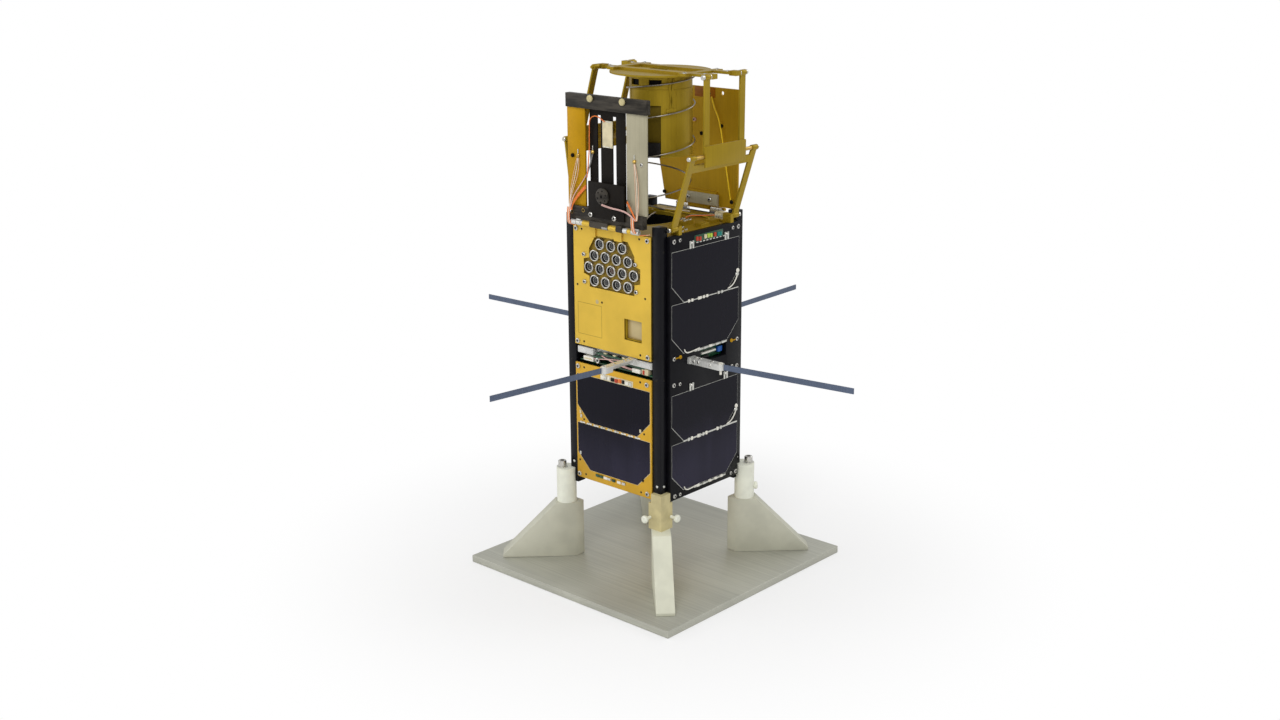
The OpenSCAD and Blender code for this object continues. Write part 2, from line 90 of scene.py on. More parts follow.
MM = 0.001
SIDE_A_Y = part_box("sensor_panel")[0].y / MM       # outer face of the gold side
SIDE_B_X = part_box("solar_panel_b")[1].x / MM      # outer face of a solar side
DECK_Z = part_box("deck")[1].z / MM
BOARD_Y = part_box("front_panel_board")[0].y / MM   # front face of the front panel's board
PLATE_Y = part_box("front_panel_plate")[0].y / MM   # front face of the low plate
STRIP_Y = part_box("front_panel_gold_strip")[0].y / MM
BACK_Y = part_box("back_panel")[0].y / MM + 1.6     # inner face of the back panel's sheet
HINGE_Z = 294.5
TUBE_X = (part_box("optics_tube")[0].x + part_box("optics_tube")[1].x) / 2 / MM
TUBE_R = 24.5
ARM_Z = (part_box("antenna_arms")[0].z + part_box("antenna_arms")[1].z) / 2 / MM
HOLE_X = -14.3                # middle and radius of the deck's opening
HOLE_R = 31.0
HEAD_PIN_X = 71.0             # axis of the head's hinge
HEAD_PIN_Z = 411.5
FOOT_PIN_X = 52.0             # axes of the lower links at the deck
FOOT_PIN_Z = 296.5
KNEES = {"b": (70.57, 352.5), "d": (-59.89, 354.97)}    # knee axes, as x and z
SPRING_PHASE = 95.0           # direction of the spring's foot from +X, in degrees
SPRING_DRIFT = 0.3            # share of the turns over which the foot leans to the opening
SPRING_FLARE = 5.2            # how much wider the foot is
SPRING_POWER = 1.3            # how much closer the upper turns are
SIDE_TURNS = {"b": 0, "c": 90, "d": 180}


def srgb(red, green, blue):
    """Linear colour of an 8-bit display colour."""
    return tuple(
        (c / 255 / 12.92) if c <= 10 else ((c / 255 + 0.055) / 1.055) ** 2.4
        for c in (red, green, blue)
    )


# ---------------------------------------------------------------- settings


def colour(label, red, green, blue):
    """A colour setting with its default."""
    return FloatVectorProperty(
        name=label,
        description=f"Colour of the {label.lower()}",
        subtype="COLOR",
        size=3,
        min=0,
        max=1,
        default=srgb(red, green, blue),
    )


def length(label, millimetres):
    """A length setting with its default, kept in metres."""
    return FloatProperty(
        name=label,
        description=f"{label}, in metres",
        unit="LENGTH",
        precision=4,
        min=0.0001,
        default=millimetres * MM,
    )


class NANOSAT_PG_finishes(bpy.types.PropertyGroup):
    """Colours of the finishes."""

    gold: colour("Gold panel", 218, 182, 72)
    gold_low: colour("Lower gold panel", 214, 168, 56)
    olive: colour("Telescope gold", 158, 132, 30)
    back: colour("Back panel", 178, 140, 20)
    amber: colour("Amber strip", 178, 134, 14)
    anodised: colour("Anodised rails", 12, 12, 17)
    solar_board: colour("Solar board", 14, 14, 18)
    cell: colour("Solar cell", 12, 10, 26)
    plate: colour("Base plate", 180, 180, 168)
    print_grey: colour("Printed legs", 190, 189, 172)
    print_pale: colour("Front leg", 212, 212, 192)
    nylon: colour("Nylon clamps", 226, 227, 212)
    nylon_aged: colour("Front clamp", 192, 180, 134)
    laminate: colour("Fibre laminate", 48, 44, 38)
    black_board: colour("Black board", 20, 16, 12)
    silver: colour("Silver strip", 164, 158, 134)
    tape: colour("Antenna tape", 92, 102, 122)
    circuit: colour("Circuit board", 16, 66, 40)


class NANOSAT_PG_sizes(bpy.types.PropertyGroup):
    """Sizes of the small parts."""

    edge: length("Edge rounding", 0.3)
    screw_r: length("Panel screw radius", 2.1)
    hole_r: length("Small hole radius", 0.9)
    cell_t: length("Solar cell thickness", 0.25)
    wire_r: length("Wire radius", 0.35)
    spring_wire_r: length("Spring wire radius", 0.6)


def finishes():
    """The colour settings."""
    return bpy.context.scene.nanosat_finishes


def sizes():
    """The size settings."""
    return bpy.context.scene.nanosat_sizes


# ---------------------------------------------------------------- shader expressions


class Val:
    """A socket or number in a material, so that sums and products read as Python."""

    def __init__(self, nodes, link):
        self.nodes = nodes
        self.link = link

    def op(self, kind, *others):
        """One Math node of that kind on this value and the others."""
        given = {i: (o.link if isinstance(o, Val) else o) for i, o in enumerate((self, *others))}
        return Val(self.nodes, self.nodes.add("ShaderNodeMath", {"operation": kind}, given).outputs[0])

    def __add__(self, other):
        return self.op("ADD", other)

    def __sub__(self, other):
        return self.op("SUBTRACT", other)

    def __mul__(self, other):
        return self.op("MULTIPLY", other)

    def __truediv__(self, other):
        return self.op("DIVIDE", other)

    def __rsub__(self, other):
        return (self * -1.0) + other

    __radd__ = __add__
    __rmul__ = __mul__

    def step(self, low, high):
        """0 below low, 1 above high, smooth between."""
        ranges = {1: low, 2: high}
        made = self.nodes.add(
            "ShaderNodeMapRange",
            {"interpolation_type": "SMOOTHSTEP", "clamp": True},
            {0: self.link, **ranges},
        )
        return Val(self.nodes, made.outputs[0])


class Finish:
    """A node material in the making."""

    def __init__(self, name, rough=0.5, metal=0.0, coat=0.0, specular=0.5):
        self.mat = bpy.data.materials.new(name)
        self.mat.use_nodes = True
        self.tree = self.mat.node_tree
        self.shader = self.tree.nodes["Principled BSDF"]
        self.shader.inputs["Roughness"].default_value = rough
        self.shader.inputs["Metallic"].default_value = metal
        self.shader.inputs["Coat Weight"].default_value = coat
        self.shader.inputs["Coat Roughness"].default_value = 0.06
        self.shader.inputs["Specular IOR Level"].default_value = specular
        self.place = self.add("ShaderNodeTexCoord", {}, {}).outputs["Object"]

    def add(self, kind, settings, given):
        """A node with its settings, and its inputs set or linked."""
        made = self.tree.nodes.new(kind)
        for key, value in settings.items():
            setattr(made, key, value)
        for key, value in given.items():
            if isinstance(value, Val):
                value = value.link
            if isinstance(value, bpy.types.NodeSocket):
                self.tree.links.new(value, made.inputs[key])
            else:
                made.inputs[key].default_value = value
        return made

    def scaled(self, scale, turn=(0, 0, 0)):
        """Object coordinates in metres, multiplied by scale along each axis."""
        made = self.add("ShaderNodeMapping", {}, {"Vector": self.place, "Scale": scale, "Rotation": turn})
        return made.outputs[0]

    def axis(self, letter):
        """One coordinate of the place, in millimetres."""
        made = self.add("ShaderNodeSeparateXYZ", {}, {0: self.place})
        return Val(self, made.outputs["XYZ".index(letter)]) * 1000.0

    def noise(self, scale, detail=3.0, turn=(0, 0, 0)):
        """Noise from 0 to 1; scale is a number or one number along each axis."""
        if not hasattr(scale, "__len__"):
            scale = (scale, scale, scale)
        made = self.add(
            "ShaderNodeTexNoise",
            {},
            {"Vector": self.scaled(scale, turn), "Scale": 1.0, "Detail": detail},
        )
        return Val(self, made.outputs[0])

    def blend(self, first, second, share):
        """Colour that goes from first to second as share goes from 0 to 1."""
        first, second = (
            (*c, 1.0) if isinstance(c, tuple) and len(c) == 3 else c for c in (first, second)
        )
        made = self.add(
            "ShaderNodeMix",
            {"data_type": "RGBA", "clamp_factor": True},
            {0: share, 6: first, 7: second},
        )
        return made.outputs[2]

    def set(self, socket, value):
        """Links or sets one input of the shader."""
        if isinstance(value, Val):
            value = value.link
        if isinstance(value, bpy.types.NodeSocket):
            self.tree.links.new(value, self.shader.inputs[socket])
        else:
            self.shader.inputs[socket].default_value = value

    def bump(self, height, strength, depth):
        """Surface relief from a height value, depth in metres."""
        made = self.add(
            "ShaderNodeBump",
            {},
            {"Height": height, "Strength": strength, "Distance": depth},
        )
        self.tree.links.new(made.outputs[0], self.shader.inputs["Normal"])


def darker(tone, factor):
    """The colour times a factor."""
    return tuple(c * factor for c in tone[:3])


def mottled(name, tone, rough, metal=0.0, spread=0.12, grain=90.0, coat=0.0, specular=0.3):
    """A plain finish with soft colour variation, uneven gloss and fine grain."""
    made = Finish(name, rough, metal, coat, specular)
    tone = tuple(tone)
    soft = made.noise(grain, 4.0)
    made.set("Base Color", made.blend(darker(tone, 1 - spread), darker(tone, 1 + spread), soft.step(0.3,
        0.7)))
    made.set("Roughness", soft * 0.16 + (rough - 0.08))
    made.bump(made.noise(900.0, 2.0), 0.5, 0.00004)
    return made.mat


def brushed(name, tone, rough, metal, along="z", streaks=0.14, specular=0.2):
    """Metal with fine streaks along one axis."""
    made = Finish(name, rough, metal, 0.0, specular)
    tone = tuple(tone)
    scale = {"x": (14, 1400, 1400), "y": (1400, 14, 1400), "z": (1400, 1400, 14)}[along]
    streak = made.noise(scale, 4.0)
    cloud = made.noise(38.0, 4.0)
    mixed = streak * 0.5 + cloud * 0.5
    made.set("Base Color", made.blend(darker(tone, 1 - streaks), darker(tone, 1 + streaks),
                                      mixed.step(0.32, 0.68)))
    made.set("Roughness", cloud * 0.22 + (rough - 0.1))
    made.bump(streak, 0.35, 0.00003)
    return made.mat


def gold_panel(name, tone, recess_y=None):
    """Gold-toned satin plate: faint clouding, fine grain, painted shade on the recess floor and walls, and
    an engraved square.
    """
    made = Finish(name, 0.42, 0.5, specular=0.15)
    tone = tuple(tone)
    cloud = made.noise(28.0, 4.0)
    shade = made.blend(darker(tone, 0.9), darker(tone, 1.08), cloud.step(0.3, 0.7))
    made.set("Roughness", cloud * 0.18 + 0.33)
    grain = made.noise((500, 500, 60), 3.0)
    height = grain * 0.12
    if recess_y is not None:
        # Painted shade: faces deeper than the outer face darken to about a third of the tone.
        deep = made.axis("Y").step(recess_y + 0.3, recess_y + 0.6)
        shade = made.blend(shade, (*darker(tone, 0.36), 1.0), deep)
        across = (made.axis("X") + 24.3).op("ABSOLUTE") - 12.9
        up = (made.axis("Z") - 215.0).op("ABSOLUTE") - 13.0
        groove = 1 - across.op("MAXIMUM", up).op("ABSOLUTE").step(0.08, 0.34)
        shade = made.blend(shade, (*darker(tone, 0.42), 1.0), groove * 0.8)
        height = height - groove
    made.set("Base Color", shade)
    made.bump(height, 0.5, 0.00015)
    return made.mat


def cell_finish(name, tone):
    """Solar cell: near-black blue, with a painted reflection that lightens it lower down and a painted
    sheen within that, hair-fine fingers and slow drift.
    """
    made = Finish(name, 0.3, 0.0, coat=0.08, specular=0.08)
    tone = tuple(tone)
    drift = made.noise((26, 26, 12), 3.0)
    height = made.axis("Z")
    # Painted reflection: the cells lighten lower down, with a wavy edge from the drift noise.
    reflection_share = 1 - (height + drift * 34.0).step(104, 158)
    low = (tone[0] * 3.6 + 0.004, tone[1] * 3.8 + 0.004, tone[2] * 2.4 + 0.006)
    shade = made.blend(darker(tone, 0.6), low, reflection_share * 0.9)
    # Painted sheen: lighter wavy streaks within the painted reflection.
    sheen = made.noise((45, 45, 3), 2.0).step(0.42, 0.62)
    shade = made.blend(shade, (*darker(low, 1.5), 1.0), sheen * reflection_share * 0.45)
    across = made.axis("X") + made.axis("Y")
    finger = ((across * (2 * math.pi / 1.6)).op("SINE")).step(0.9, 1.0)
    shade = made.blend(shade, (0.02, 0.02, 0.04, 1.0), finger * 0.3)
    made.set("Base Color", shade)
    made.set("Roughness", drift * 0.15 + 0.2)
    made.bump(made.noise((60, 60, 18), 2.0), 0.15, 0.0002)
    return made.mat


def laminate_finish(name, tone):
    """Carbon-fibre laminate: smeared fibres with lighter and darker patches."""
    made = Finish(name, 0.5, 0.0, specular=0.2)
    tone = tuple(tone)
    fibre = made.noise((60, 700, 480), 5.0)
    patch = made.noise((40, 90, 150), 4.0)
    made.set("Base Color", made.blend(darker(tone, 0.4), darker(tone, 1.9),
                                      (fibre * 0.45 + patch * 0.55).step(0.36, 0.64)))
    made.set("Roughness", patch * 0.3 + 0.3)
    made.bump(fibre, 0.5, 0.0001)
    return made.mat


def layered_print(name, tone):
    """Printed plastic: fine horizontal layers and slight blotches."""
    made = Finish(name, 0.6, 0.0)
    tone = tuple(tone)
    blotch = made.noise(45.0, 4.0)
    layer = (made.axis("Z") * (2 * math.pi / 0.5)).op("SINE")
    made.set("Base Color", made.blend(darker(tone, 0.9), darker(tone, 1.06),
                                      (blotch + layer * 0.04).step(0.3, 0.7)))
    made.set("Roughness", blotch * 0.2 + 0.48)
    made.bump(layer * 0.5 + made.noise(600.0) * 0.4, 0.35, 0.00006)
    return made.mat


def plate_finish(name, tone):
    """Base plate: fine brushing along X, soft smudges and a few bright scratches."""
    made = Finish(name, 0.42, 0.35, specular=0.3)
    tone = tuple(tone)
    streak = made.noise((9, 1100, 1100), 4.0)
    smudge = made.noise(16.0, 5.0)
    scratch = made.noise((30, 900, 30), 1.0, turn=(0, 0, 0.5)).step(0.72, 0.78)
    shade = made.blend(darker(tone, 0.84), darker(tone, 1.1),
                       (streak * 0.6 + smudge * 0.4).step(0.3, 0.7))
    made.set("Base Color", made.blend(shade, (*darker(tone, 1.35), 1.0), scratch * 0.35))
    made.set("Roughness", smudge * 0.24 + 0.3)
    made.bump(streak + scratch, 0.25, 0.00004)
    return made.mat


def circuit_finish(name, tone):
    """Circuit board: solder-mask green with lighter copper lanes."""
    made = Finish(name, 0.35, 0.0, coat=0.3)
    tone = tuple(tone)
    rows = (made.axis("X") * 1.9).op("SINE")
    columns = (made.axis("Z") * 2.3 + made.axis("Y") * 1.7).op("SINE")
    lane = (rows * columns).step(0.55, 0.7)
    cloud = made.noise(150.0)
    shade = made.blend(darker(tone, 0.6), darker(tone, 1.3), cloud.step(0.35, 0.65))
    made.set("Base Color", made.blend(shade, (*darker(tone, 2.4), 1.0), lane * 0.45))
    made.set("Roughness", cloud * 0.2 + 0.25)
    made.bump(lane, 0.3, 0.00008)
    return made.mat


def make_finishes():
    """Every material of the object, by a short name."""
    tones = finishes()
    steel = srgb(200, 198, 192)
    return {
        "gold": gold_panel("gold_panel_satin", tones.gold, recess_y=SIDE_A_Y),
        "gold_low": gold_panel("gold_lower_satin", tones.gold_low),
        "deck": brushed("gold_deck_satin", tones.olive, 0.42, 0.55, "x"),
        "olive": brushed("gold_mechanism_satin", tones.olive, 0.4, 0.5, "z", 0.1),
        "back": brushed("gold_back_sheet", tones.back, 0.42, 0.45, "z", 0.1),
        "amber": mottled("amber_film", tones.amber, 0.35, 0.3, 0.08, 60.0, 0.0, 0.1),
        "anodised": mottled("anodised_black", tones.anodised, 0.34, 0.0, 0.25, 60.0, specular=0.16),
        "solar_board": mottled("solar_board_black", tones.solar_board, 0.42, 0.0, 0.2, 120.0,
                               specular=0.12),
        "cell": cell_finish("solar_cell_blue", tones.cell),
        "plate": plate_finish("base_plate_brushed", tones.plate),
        "print_grey": layered_print("printed_grey", tones.print_grey),
        "print_pale": layered_print("printed_pale", tones.print_pale),
        "nylon": mottled("nylon_white", tones.nylon, 0.45, 0.0, 0.05, 120.0),
        "nylon_aged": mottled("nylon_aged", tones.nylon_aged, 0.5, 0.0, 0.1, 120.0),
        "laminate": laminate_finish("fibre_laminate", tones.laminate),
        "black_board": mottled("black_board_matte", tones.black_board, 0.55, 0.0, 0.22, 140.0,
                               specular=0.12),
        "silver": brushed("silver_strip", tones.silver, 0.5, 0.15, "z", 0.1),
        "tape": brushed("antenna_tape_steel", tones.tape, 0.35, 0.6, "z", 0.12),
        "circuit": circuit_finish("circuit_board_green", tones.circuit),
        "steel": brushed("bright_steel", steel, 0.26, 0.95, "z", 0.08),
        "wire_steel": mottled("spring_wire_steel", srgb(150, 144, 132), 0.3, 0.9, 0.12, 300.0),
        "bare": brushed("bare_aluminium", srgb(208, 208, 204), 0.36, 0.45, "z", 0.1),
        "brass": mottled("brass_pins", srgb(190, 158, 84), 0.3, 0.85, 0.12, 300.0),
        "rubber": mottled("black_plastic", srgb(20, 18, 17), 0.42, 0.0, 0.2, 200.0, specular=0.2),
        "glass": mottled("dark_lens", srgb(10, 12, 15), 0.12, 0.0, 0.3, 200.0, 1.0),
        "lens_warm": mottled("warm_lens", srgb(58, 34, 22), 0.15, 0.1, 0.3, 200.0, 1.0),
        "white": mottled("white_plastic", srgb(226, 223, 212), 0.45, 0.0, 0.06, 200.0),
        "beige": mottled("beige_plastic", srgb(205, 194, 160), 0.5, 0.0, 0.1, 200.0),
        "solder": mottled("solder_tin", srgb(205, 205, 198), 0.32, 0.7, 0.15, 600.0),
        "orange": mottled("wire_orange", srgb(222, 118, 52), 0.42, 0.0, 0.08, 300.0),
        "peach": mottled("wire_peach", srgb(214, 176, 148), 0.42, 0.0, 0.08, 300.0),
        "cream": mottled("wire_cream", srgb(226, 214, 196), 0.45, 0.0, 0.08, 300.0),
        "yellow": mottled("wire_yellow", srgb(232, 196, 30), 0.42, 0.0, 0.08, 300.0),
        "pink": mottled("wire_pink", srgb(206, 168, 160), 0.45, 0.0, 0.08, 300.0),
        "grey_wire": mottled("wire_grey", srgb(120, 118, 116), 0.42, 0.0, 0.1, 300.0),
        "red": mottled("part_red", srgb(176, 60, 38), 0.35, 0.0, 0.1, 300.0),
        "lime": mottled("part_lime", srgb(170, 196, 70), 0.35, 0.0, 0.1, 300.0),
        "teal": mottled("part_teal", srgb(28, 120, 112), 0.35, 0.0, 0.1, 300.0),
        "blue": mottled("part_blue", srgb(40, 92, 170), 0.35, 0.0, 0.1, 300.0),
        "window": mottled("window_film", srgb(186, 168, 122), 0.3, 0.35, 0.05, 90.0, 0.3),
        "brown": mottled("amber_tape", srgb(152, 92, 14), 0.4, 0.1, 0.1, 60.0, specular=0.15),
        # The dark finish is painted shade in holes, sockets, cross slots and linings, and the own colour
        # of a few black parts.
        "dark": mottled("black_and_painted_shade", srgb(14, 12, 10), 0.7, 0.0, 0.2, 200.0, specular=0.1),
        "notch": mottled("notch_shade", srgb(92, 76, 16), 0.5, 0.4, 0.1, 60.0, specular=0.1),
    }


MATERIALS = {}


# ---------------------------------------------------------------- mesh helpers


def facing(at, normal, turn=0.0):
    """Matrix that stands a shape drawn along +Z on a point in millimetres, along a normal."""
    lean = Vector(normal).normalized().to_track_quat("Z", "Y").to_matrix().to_4x4()
    return Matrix.Translation(Vector(at) * MM) @ lean @ Matrix.Rotation(turn, 4, "Z")


class Shape:
    """A mesh in the making; sizes are given in millimetres."""

    def __init__(self):
        self.bm = bmesh.new()
        self.slots = []

    def slot(self, finish):
        """Index of a finish among this piece's material slots."""
        if finish not in self.slots:
            self.slots.append(finish)
        return self.slots.index(finish)

    def keep(self, part, place, finish):
        """Adds a finished small mesh at its place, in one finish."""
        bmesh.ops.recalc_face_normals(part, faces=part.faces)
        index = self.slot(finish)
        for face in part.faces:
            face.material_index = index
        part.transform(place)
        mesh = bpy.data.meshes.new("part")
        part.to_mesh(mesh)
        part.free()
        self.bm.from_mesh(mesh)
        bpy.data.meshes.remove(mesh)

    def block(self, low, high, finish, edge=0.25, place=Matrix.Identity(4)):
        """A box between two corners with rounded edges."""
        part = bmesh.new()
        bmesh.ops.create_cube(part, size=1.0)
        span = [(b - a) * MM for a, b in zip(low, high)]
        middle = [(a + b) / 2 * MM for a, b in zip(low, high)]
        bmesh.ops.scale(part, vec=span, verts=part.verts)
        bmesh.ops.translate(part, vec=middle, verts=part.verts)
        if edge:
            bmesh.ops.bevel(
                part,
                geom=part.edges[:],
                offset=min(edge * MM, min(abs(s) for s in span) * 0.4),
                segments=2,
                profile=0.5,
                affect="EDGES",
                material=-1,
            )
        self.keep(part, place, finish)

    def turned(self, outline, place, finish, segments=20):
        """An outline of (radius, height) points, spun about Z."""
        part = bmesh.new()
        points = [part.verts.new((r * MM, 0, z * MM)) for r, z in outline]
        edges = [part.edges.new(pair) for pair in zip(points, points[1:])]
        bmesh.ops.spin(
            part,
            geom=points + edges,
            cent=(0, 0, 0),
            axis=(0, 0, 1),
            angle=2 * math.pi,
            steps=segments,
            use_merge=True,
        )
        bmesh.ops.remove_doubles(part, verts=part.verts, dist=1e-7)
        self.keep(part, place, finish)

    def rod(self, start, end, radius, finish, edge=0.2, segments=16):
        """A round bar between two points."""
        run = Vector(end) - Vector(start)
        high = run.length
        outline = [(0, 0), (radius - edge, 0), (radius, edge), (radius, high - edge),
                   (radius - edge, high), (0, high)]
        self.turned(outline, facing(start, run), finish, segments)

    def sheet(self, outline, thickness, place, finish, edge=0.0):
        """A flat outline of (x, y) points, thickened along +Z."""
        part = bmesh.new()
        face = part.faces.new([part.verts.new((x * MM, y * MM, 0)) for x, y in outline])
        made = bmesh.ops.extrude_face_region(part, geom=[face])
        moved = [v for v in made["geom"] if isinstance(v, bmesh.types.BMVert)]
        bmesh.ops.translate(part, vec=(0, 0, thickness * MM), verts=moved)
        if edge:
            bmesh.ops.bevel(
                part,
                geom=part.edges[:],
                offset=edge * MM,
                segments=1,
                profile=0.5,
                affect="EDGES",
                material=-1,
            )
        self.keep(part, place, finish)

    def screw(self, at, normal, radius, finish="steel", height=1.2, socket="cross", turn=0.4):
        """A pan-head screw with a round recess, a cross recess, or six sides all over for all_hex."""
        place = facing(at, normal, turn)
        deep = height * 0.55
        hole = radius * 0.42
        crown = [(0, height - deep), (hole, height - deep), (hole, height), (radius * 0.72, height)]
        side = [(radius * 0.95, height * 0.7), (radius, height * 0.35), (radius, 0), (0, 0)]
        self.turned(crown + side, place, finish, 6 if socket == "all_hex" else 18)
        # Dark disc of painted shade on the recess floor; for a cross, two dark bars of painted shade laid
        # on the head.
        dark = [(0, height - deep + 0.03), (hole * 0.96, height - deep + 0.03)]
        self.turned(dark, place, "dark", 6)
        if socket == "cross":
            for spin in (0, math.pi / 2):
                self.block(
                    (-radius * 0.6, -radius * 0.13, height - 0.02),
                    (radius * 0.6, radius * 0.13, height + 0.02),
                    "dark",
                    0,
                    place @ Matrix.Rotation(spin, 4, "Z"),
                )

    def hole(self, at, normal, radius):
        """A small drilled hole seen from outside: a dark disc of painted shade for the bore, with a bright
        countersink.
        """
        place = facing(at, normal)
        self.turned([(0, 0.02), (radius, 0.02)], place, "dark", 14)
        self.turned([(radius, 0.0), (radius, 0.05), (radius * 1.25, 0.0)], place, "brass", 14)

    def done(self, name, body, smooth=35.0):
        """Makes the object, rides it on its body and gives it its finishes."""
        mesh = bpy.data.meshes.new(name)
        self.bm.to_mesh(mesh)
        self.bm.free()
        for finish in self.slots:
            mesh.materials.append(MATERIALS[finish])
        mesh.shade_smooth()
        mesh.set_sharp_from_angle(angle=math.radians(smooth))
        made = bpy.data.objects.new(name, mesh)
        bpy.context.scene.collection.objects.link(made)
        if body:
            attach(made, body)
        return made


def wire_mesh(name, runs, radius, finish, body, smooth=True):
    """Round wires along lists of points in millimetres, as one mesh."""
    data = bpy.data.curves.new(name, "CURVE")
    data.dimensions = "3D"
    data.bevel_depth = radius * MM
    data.bevel_resolution = 2
    data.resolution_u = 6
    data.use_fill_caps = True
    for run in runs:
        line = data.splines.new("NURBS" if smooth else "POLY")
        line.points.add(len(run) - 1)
        for point, where in zip(line.points, run):
            point.co = (*(Vector(where) * MM), 1.0)
        if smooth:
            line.order_u = 4 if len(run) > 3 else len(run)
            line.use_endpoint_u = True
    holder = bpy.data.objects.new(name + "_line", data)
    bpy.context.scene.collection.objects.link(holder)
    bpy.context.view_layer.update()
    mesh = bpy.data.meshes.new_from_object(holder.evaluated_get(bpy.context.evaluated_depsgraph_get()))
    bpy.data.objects.remove(holder)
    bpy.data.curves.remove(data)
    mesh.name = name
    mesh.materials.clear()
    mesh.materials.append(MATERIALS[finish])
    mesh.shade_smooth()
    made = bpy.data.objects.new(name, mesh)
    bpy.context.scene.collection.objects.link(made)
    if body:
        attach(made, body)
    return made


def dressed(node, finish, edge_mm=None):
    """A copy of a CAD node with merged points and rounded edges, shown in its place."""
    source = frame["nodes"][node]
    part = bmesh.new()
    part.from_mesh(source.data)
    bmesh.ops.remove_doubles(part, verts=part.verts, dist=2e-6)
    bmesh.ops.dissolve_limit(
        part,
        angle_limit=math.radians(0.5),
        use_dissolve_boundaries=False,
        verts=part.verts,
        edges=part.edges,
    )
    bmesh.ops.recalc_face_normals(part, faces=part.faces)
    edge = edge_mm * MM if edge_mm else sizes().edge
    sharp = [e for e in part.edges if len(e.link_faces) == 2 and e.calc_face_angle(0) > math.radians(50)]
    bmesh.ops.bevel(
        part,
        geom=sharp,
        offset=edge,
        segments=2,
        profile=0.5,
        affect="EDGES",
        clamp_overlap=True,
        material=-1,
    )
    for face in part.faces:
        face.material_index = 0
    mesh = bpy.data.meshes.new(node + "_finished")
    part.to_mesh(mesh)
    part.free()
    mesh.materials.append(MATERIALS[finish])
    mesh.shade_smooth()
    mesh.set_sharp_from_angle(angle=math.radians(32))
    made = bpy.data.objects.new(node + "_finished", mesh)
    bpy.context.scene.collection.objects.link(made)
    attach(made, source["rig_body"])
    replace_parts(made, node)
    return made


# ---------------------------------------------------------------- operators


class Step:
    """What every operator here shares."""

    bl_options = {"REGISTER", "UNDO"}

    def execute(self, context):
        self.build(context)
        return {"FINISHED"}


DRESSED = {
    "base_plate": ("plate", 0.5),
    "leg_front": ("print_pale", 0.5),
    "leg_right": ("print_grey", 0.5),
    "leg_back": ("print_grey", 0.5),
    "leg_left": ("print_grey", 0.5),
    "rail_front": ("anodised", 0.5),
    "rail_right": ("anodised", 0.5),
    "rail_back": ("anodised", 0.5),
    "rail_left": ("anodised", 0.5),
    "floor_plate": ("gold_low", 0.2),
    "lower_gold_panel": ("gold_low", 0.2),
    "solar_panel_b": ("solar_board", 0.2),
    "solar_panel_c": ("solar_board", 0.2),
    "solar_panel_d": ("solar_board", 0.2),
    "front_panel_top_bar": ("laminate", 0.25),
    "front_panel_gold_strip": ("amber", 0.15),
    "front_panel_silver_strip": ("silver", 0.15),
    "front_panel_board": ("black_board", 0.15),
    "front_panel_plate": ("black_board", 0.2),
    "antenna_frame": ("bare", 0.3),
    "lower_link_b": ("olive", 0.15),
    "upper_link_b": ("olive", 0.15),
    "lower_link_d": ("olive", 0.15),
    "upper_link_d": ("olive", 0.15),
}

PAINTED = {
    "clamp_front": "nylon_aged",
    "clamp_right": "nylon",
    "clamp_back": "nylon",
    "clamp_left": "nylon",
    "deck": "deck",
    "sensor_panel": "gold",
    "sensor_cans": "steel",
    "electronics_stack": "circuit",
    "antenna_arms": "bare",
    "antenna_tape_a": "tape",
    "antenna_tape_b": "tape",
    "antenna_tape_c": "tape",
    "antenna_tape_d": "tape",
    "deck_fittings": "deck",
    "link_hinges": "olive",
    "head_frame": "olive",
    "optics_tube": "olive",
    "spring": "wire_steel",
    "front_panel_base_bar": "laminate",
    "front_panel_hinge": "gold",
    "front_panel_disc": "laminate",
    "back_panel_hinge": "steel",
    "back_panel": "back",
}


class NANOSAT_OT_frame(Step, bpy.types.Operator):
    """Gives every CAD piece its finish, and its rounded edges where it has flat faces"""

    bl_idname = "nanosat.frame"
    bl_label = "Frame finishes"

    def build(self, context):
        MATERIALS.update(make_finishes())
        for node, (finish, edge) in DRESSED.items():
            dressed(node, finish, edge)
        for node, finish in PAINTED.items():
            piece = frame["nodes"][node]
            piece.data.materials.clear()
            piece.data.materials.append(MATERIALS[finish])


class NANOSAT_OT_stand_screws(Step, bpy.types.Operator):
    """Cap screws on the clamps, thumb screws of the front clamp and bumps at the clamps' corners"""

    bl_idname = "nanosat.stand_screws"
    bl_label = "Stand screws"

    def build(self, context):
        shape = Shape()
        for turn in (90, 180, 270):
            around = Matrix.Rotation(math.radians(turn), 4, "Z")
            at = around @ Vector((55, -55, 84))
            cap = [(0, 2.6), (1.7, 2.6), (1.7, 5.4), (3.0, 5.4), (3.5, 4.9), (3.5, 0), (0, 0)]
            shape.turned(cap, facing(at, (0, 0, 1)), "steel", 28)
            # Dark disc of painted shade in the cap's socket.
            shape.turned([(0, 2.7), (1.65, 2.7)], facing(at, (0, 0, 1)), "dark", 6)
            washer = [(0, 0.6), (4.2, 0.6), (4.5, 0.4), (4.5, 0), (0, 0)]
            shape.turned(washer, facing(at, (0, 0, 1)), "solder", 28)
        shape.done("clamp_cap_screws", "root")
        shape = Shape()
        knob = [(0, 3.4), (2.2, 3.4), (3.1, 2.7), (3.3, 1.7), (3.0, 0.7), (2.2, 0), (0, 0)]
        for at, normal in (((41.8, -58.2, 63.8), (0, -1, 0)), ((58.2, -41.8, 63.8), (1, 0, 0))):
            shape.turned(knob, facing(at, normal), "nylon", 24)
            shape.rod(Vector(at) - Vector(normal) * 4.9, at, 1.3, "nylon")
        for turn in (90, 180):
            around = Matrix.Rotation(math.radians(turn), 4, "Z")
            at = around @ Vector((58.2, -58.2, 63.2))
            shape.turned(knob, facing(at, around.to_3x3() @ Vector((1, -1, 0))), "nylon", 24)
        shape.done("clamp_thumb_screws", "root")


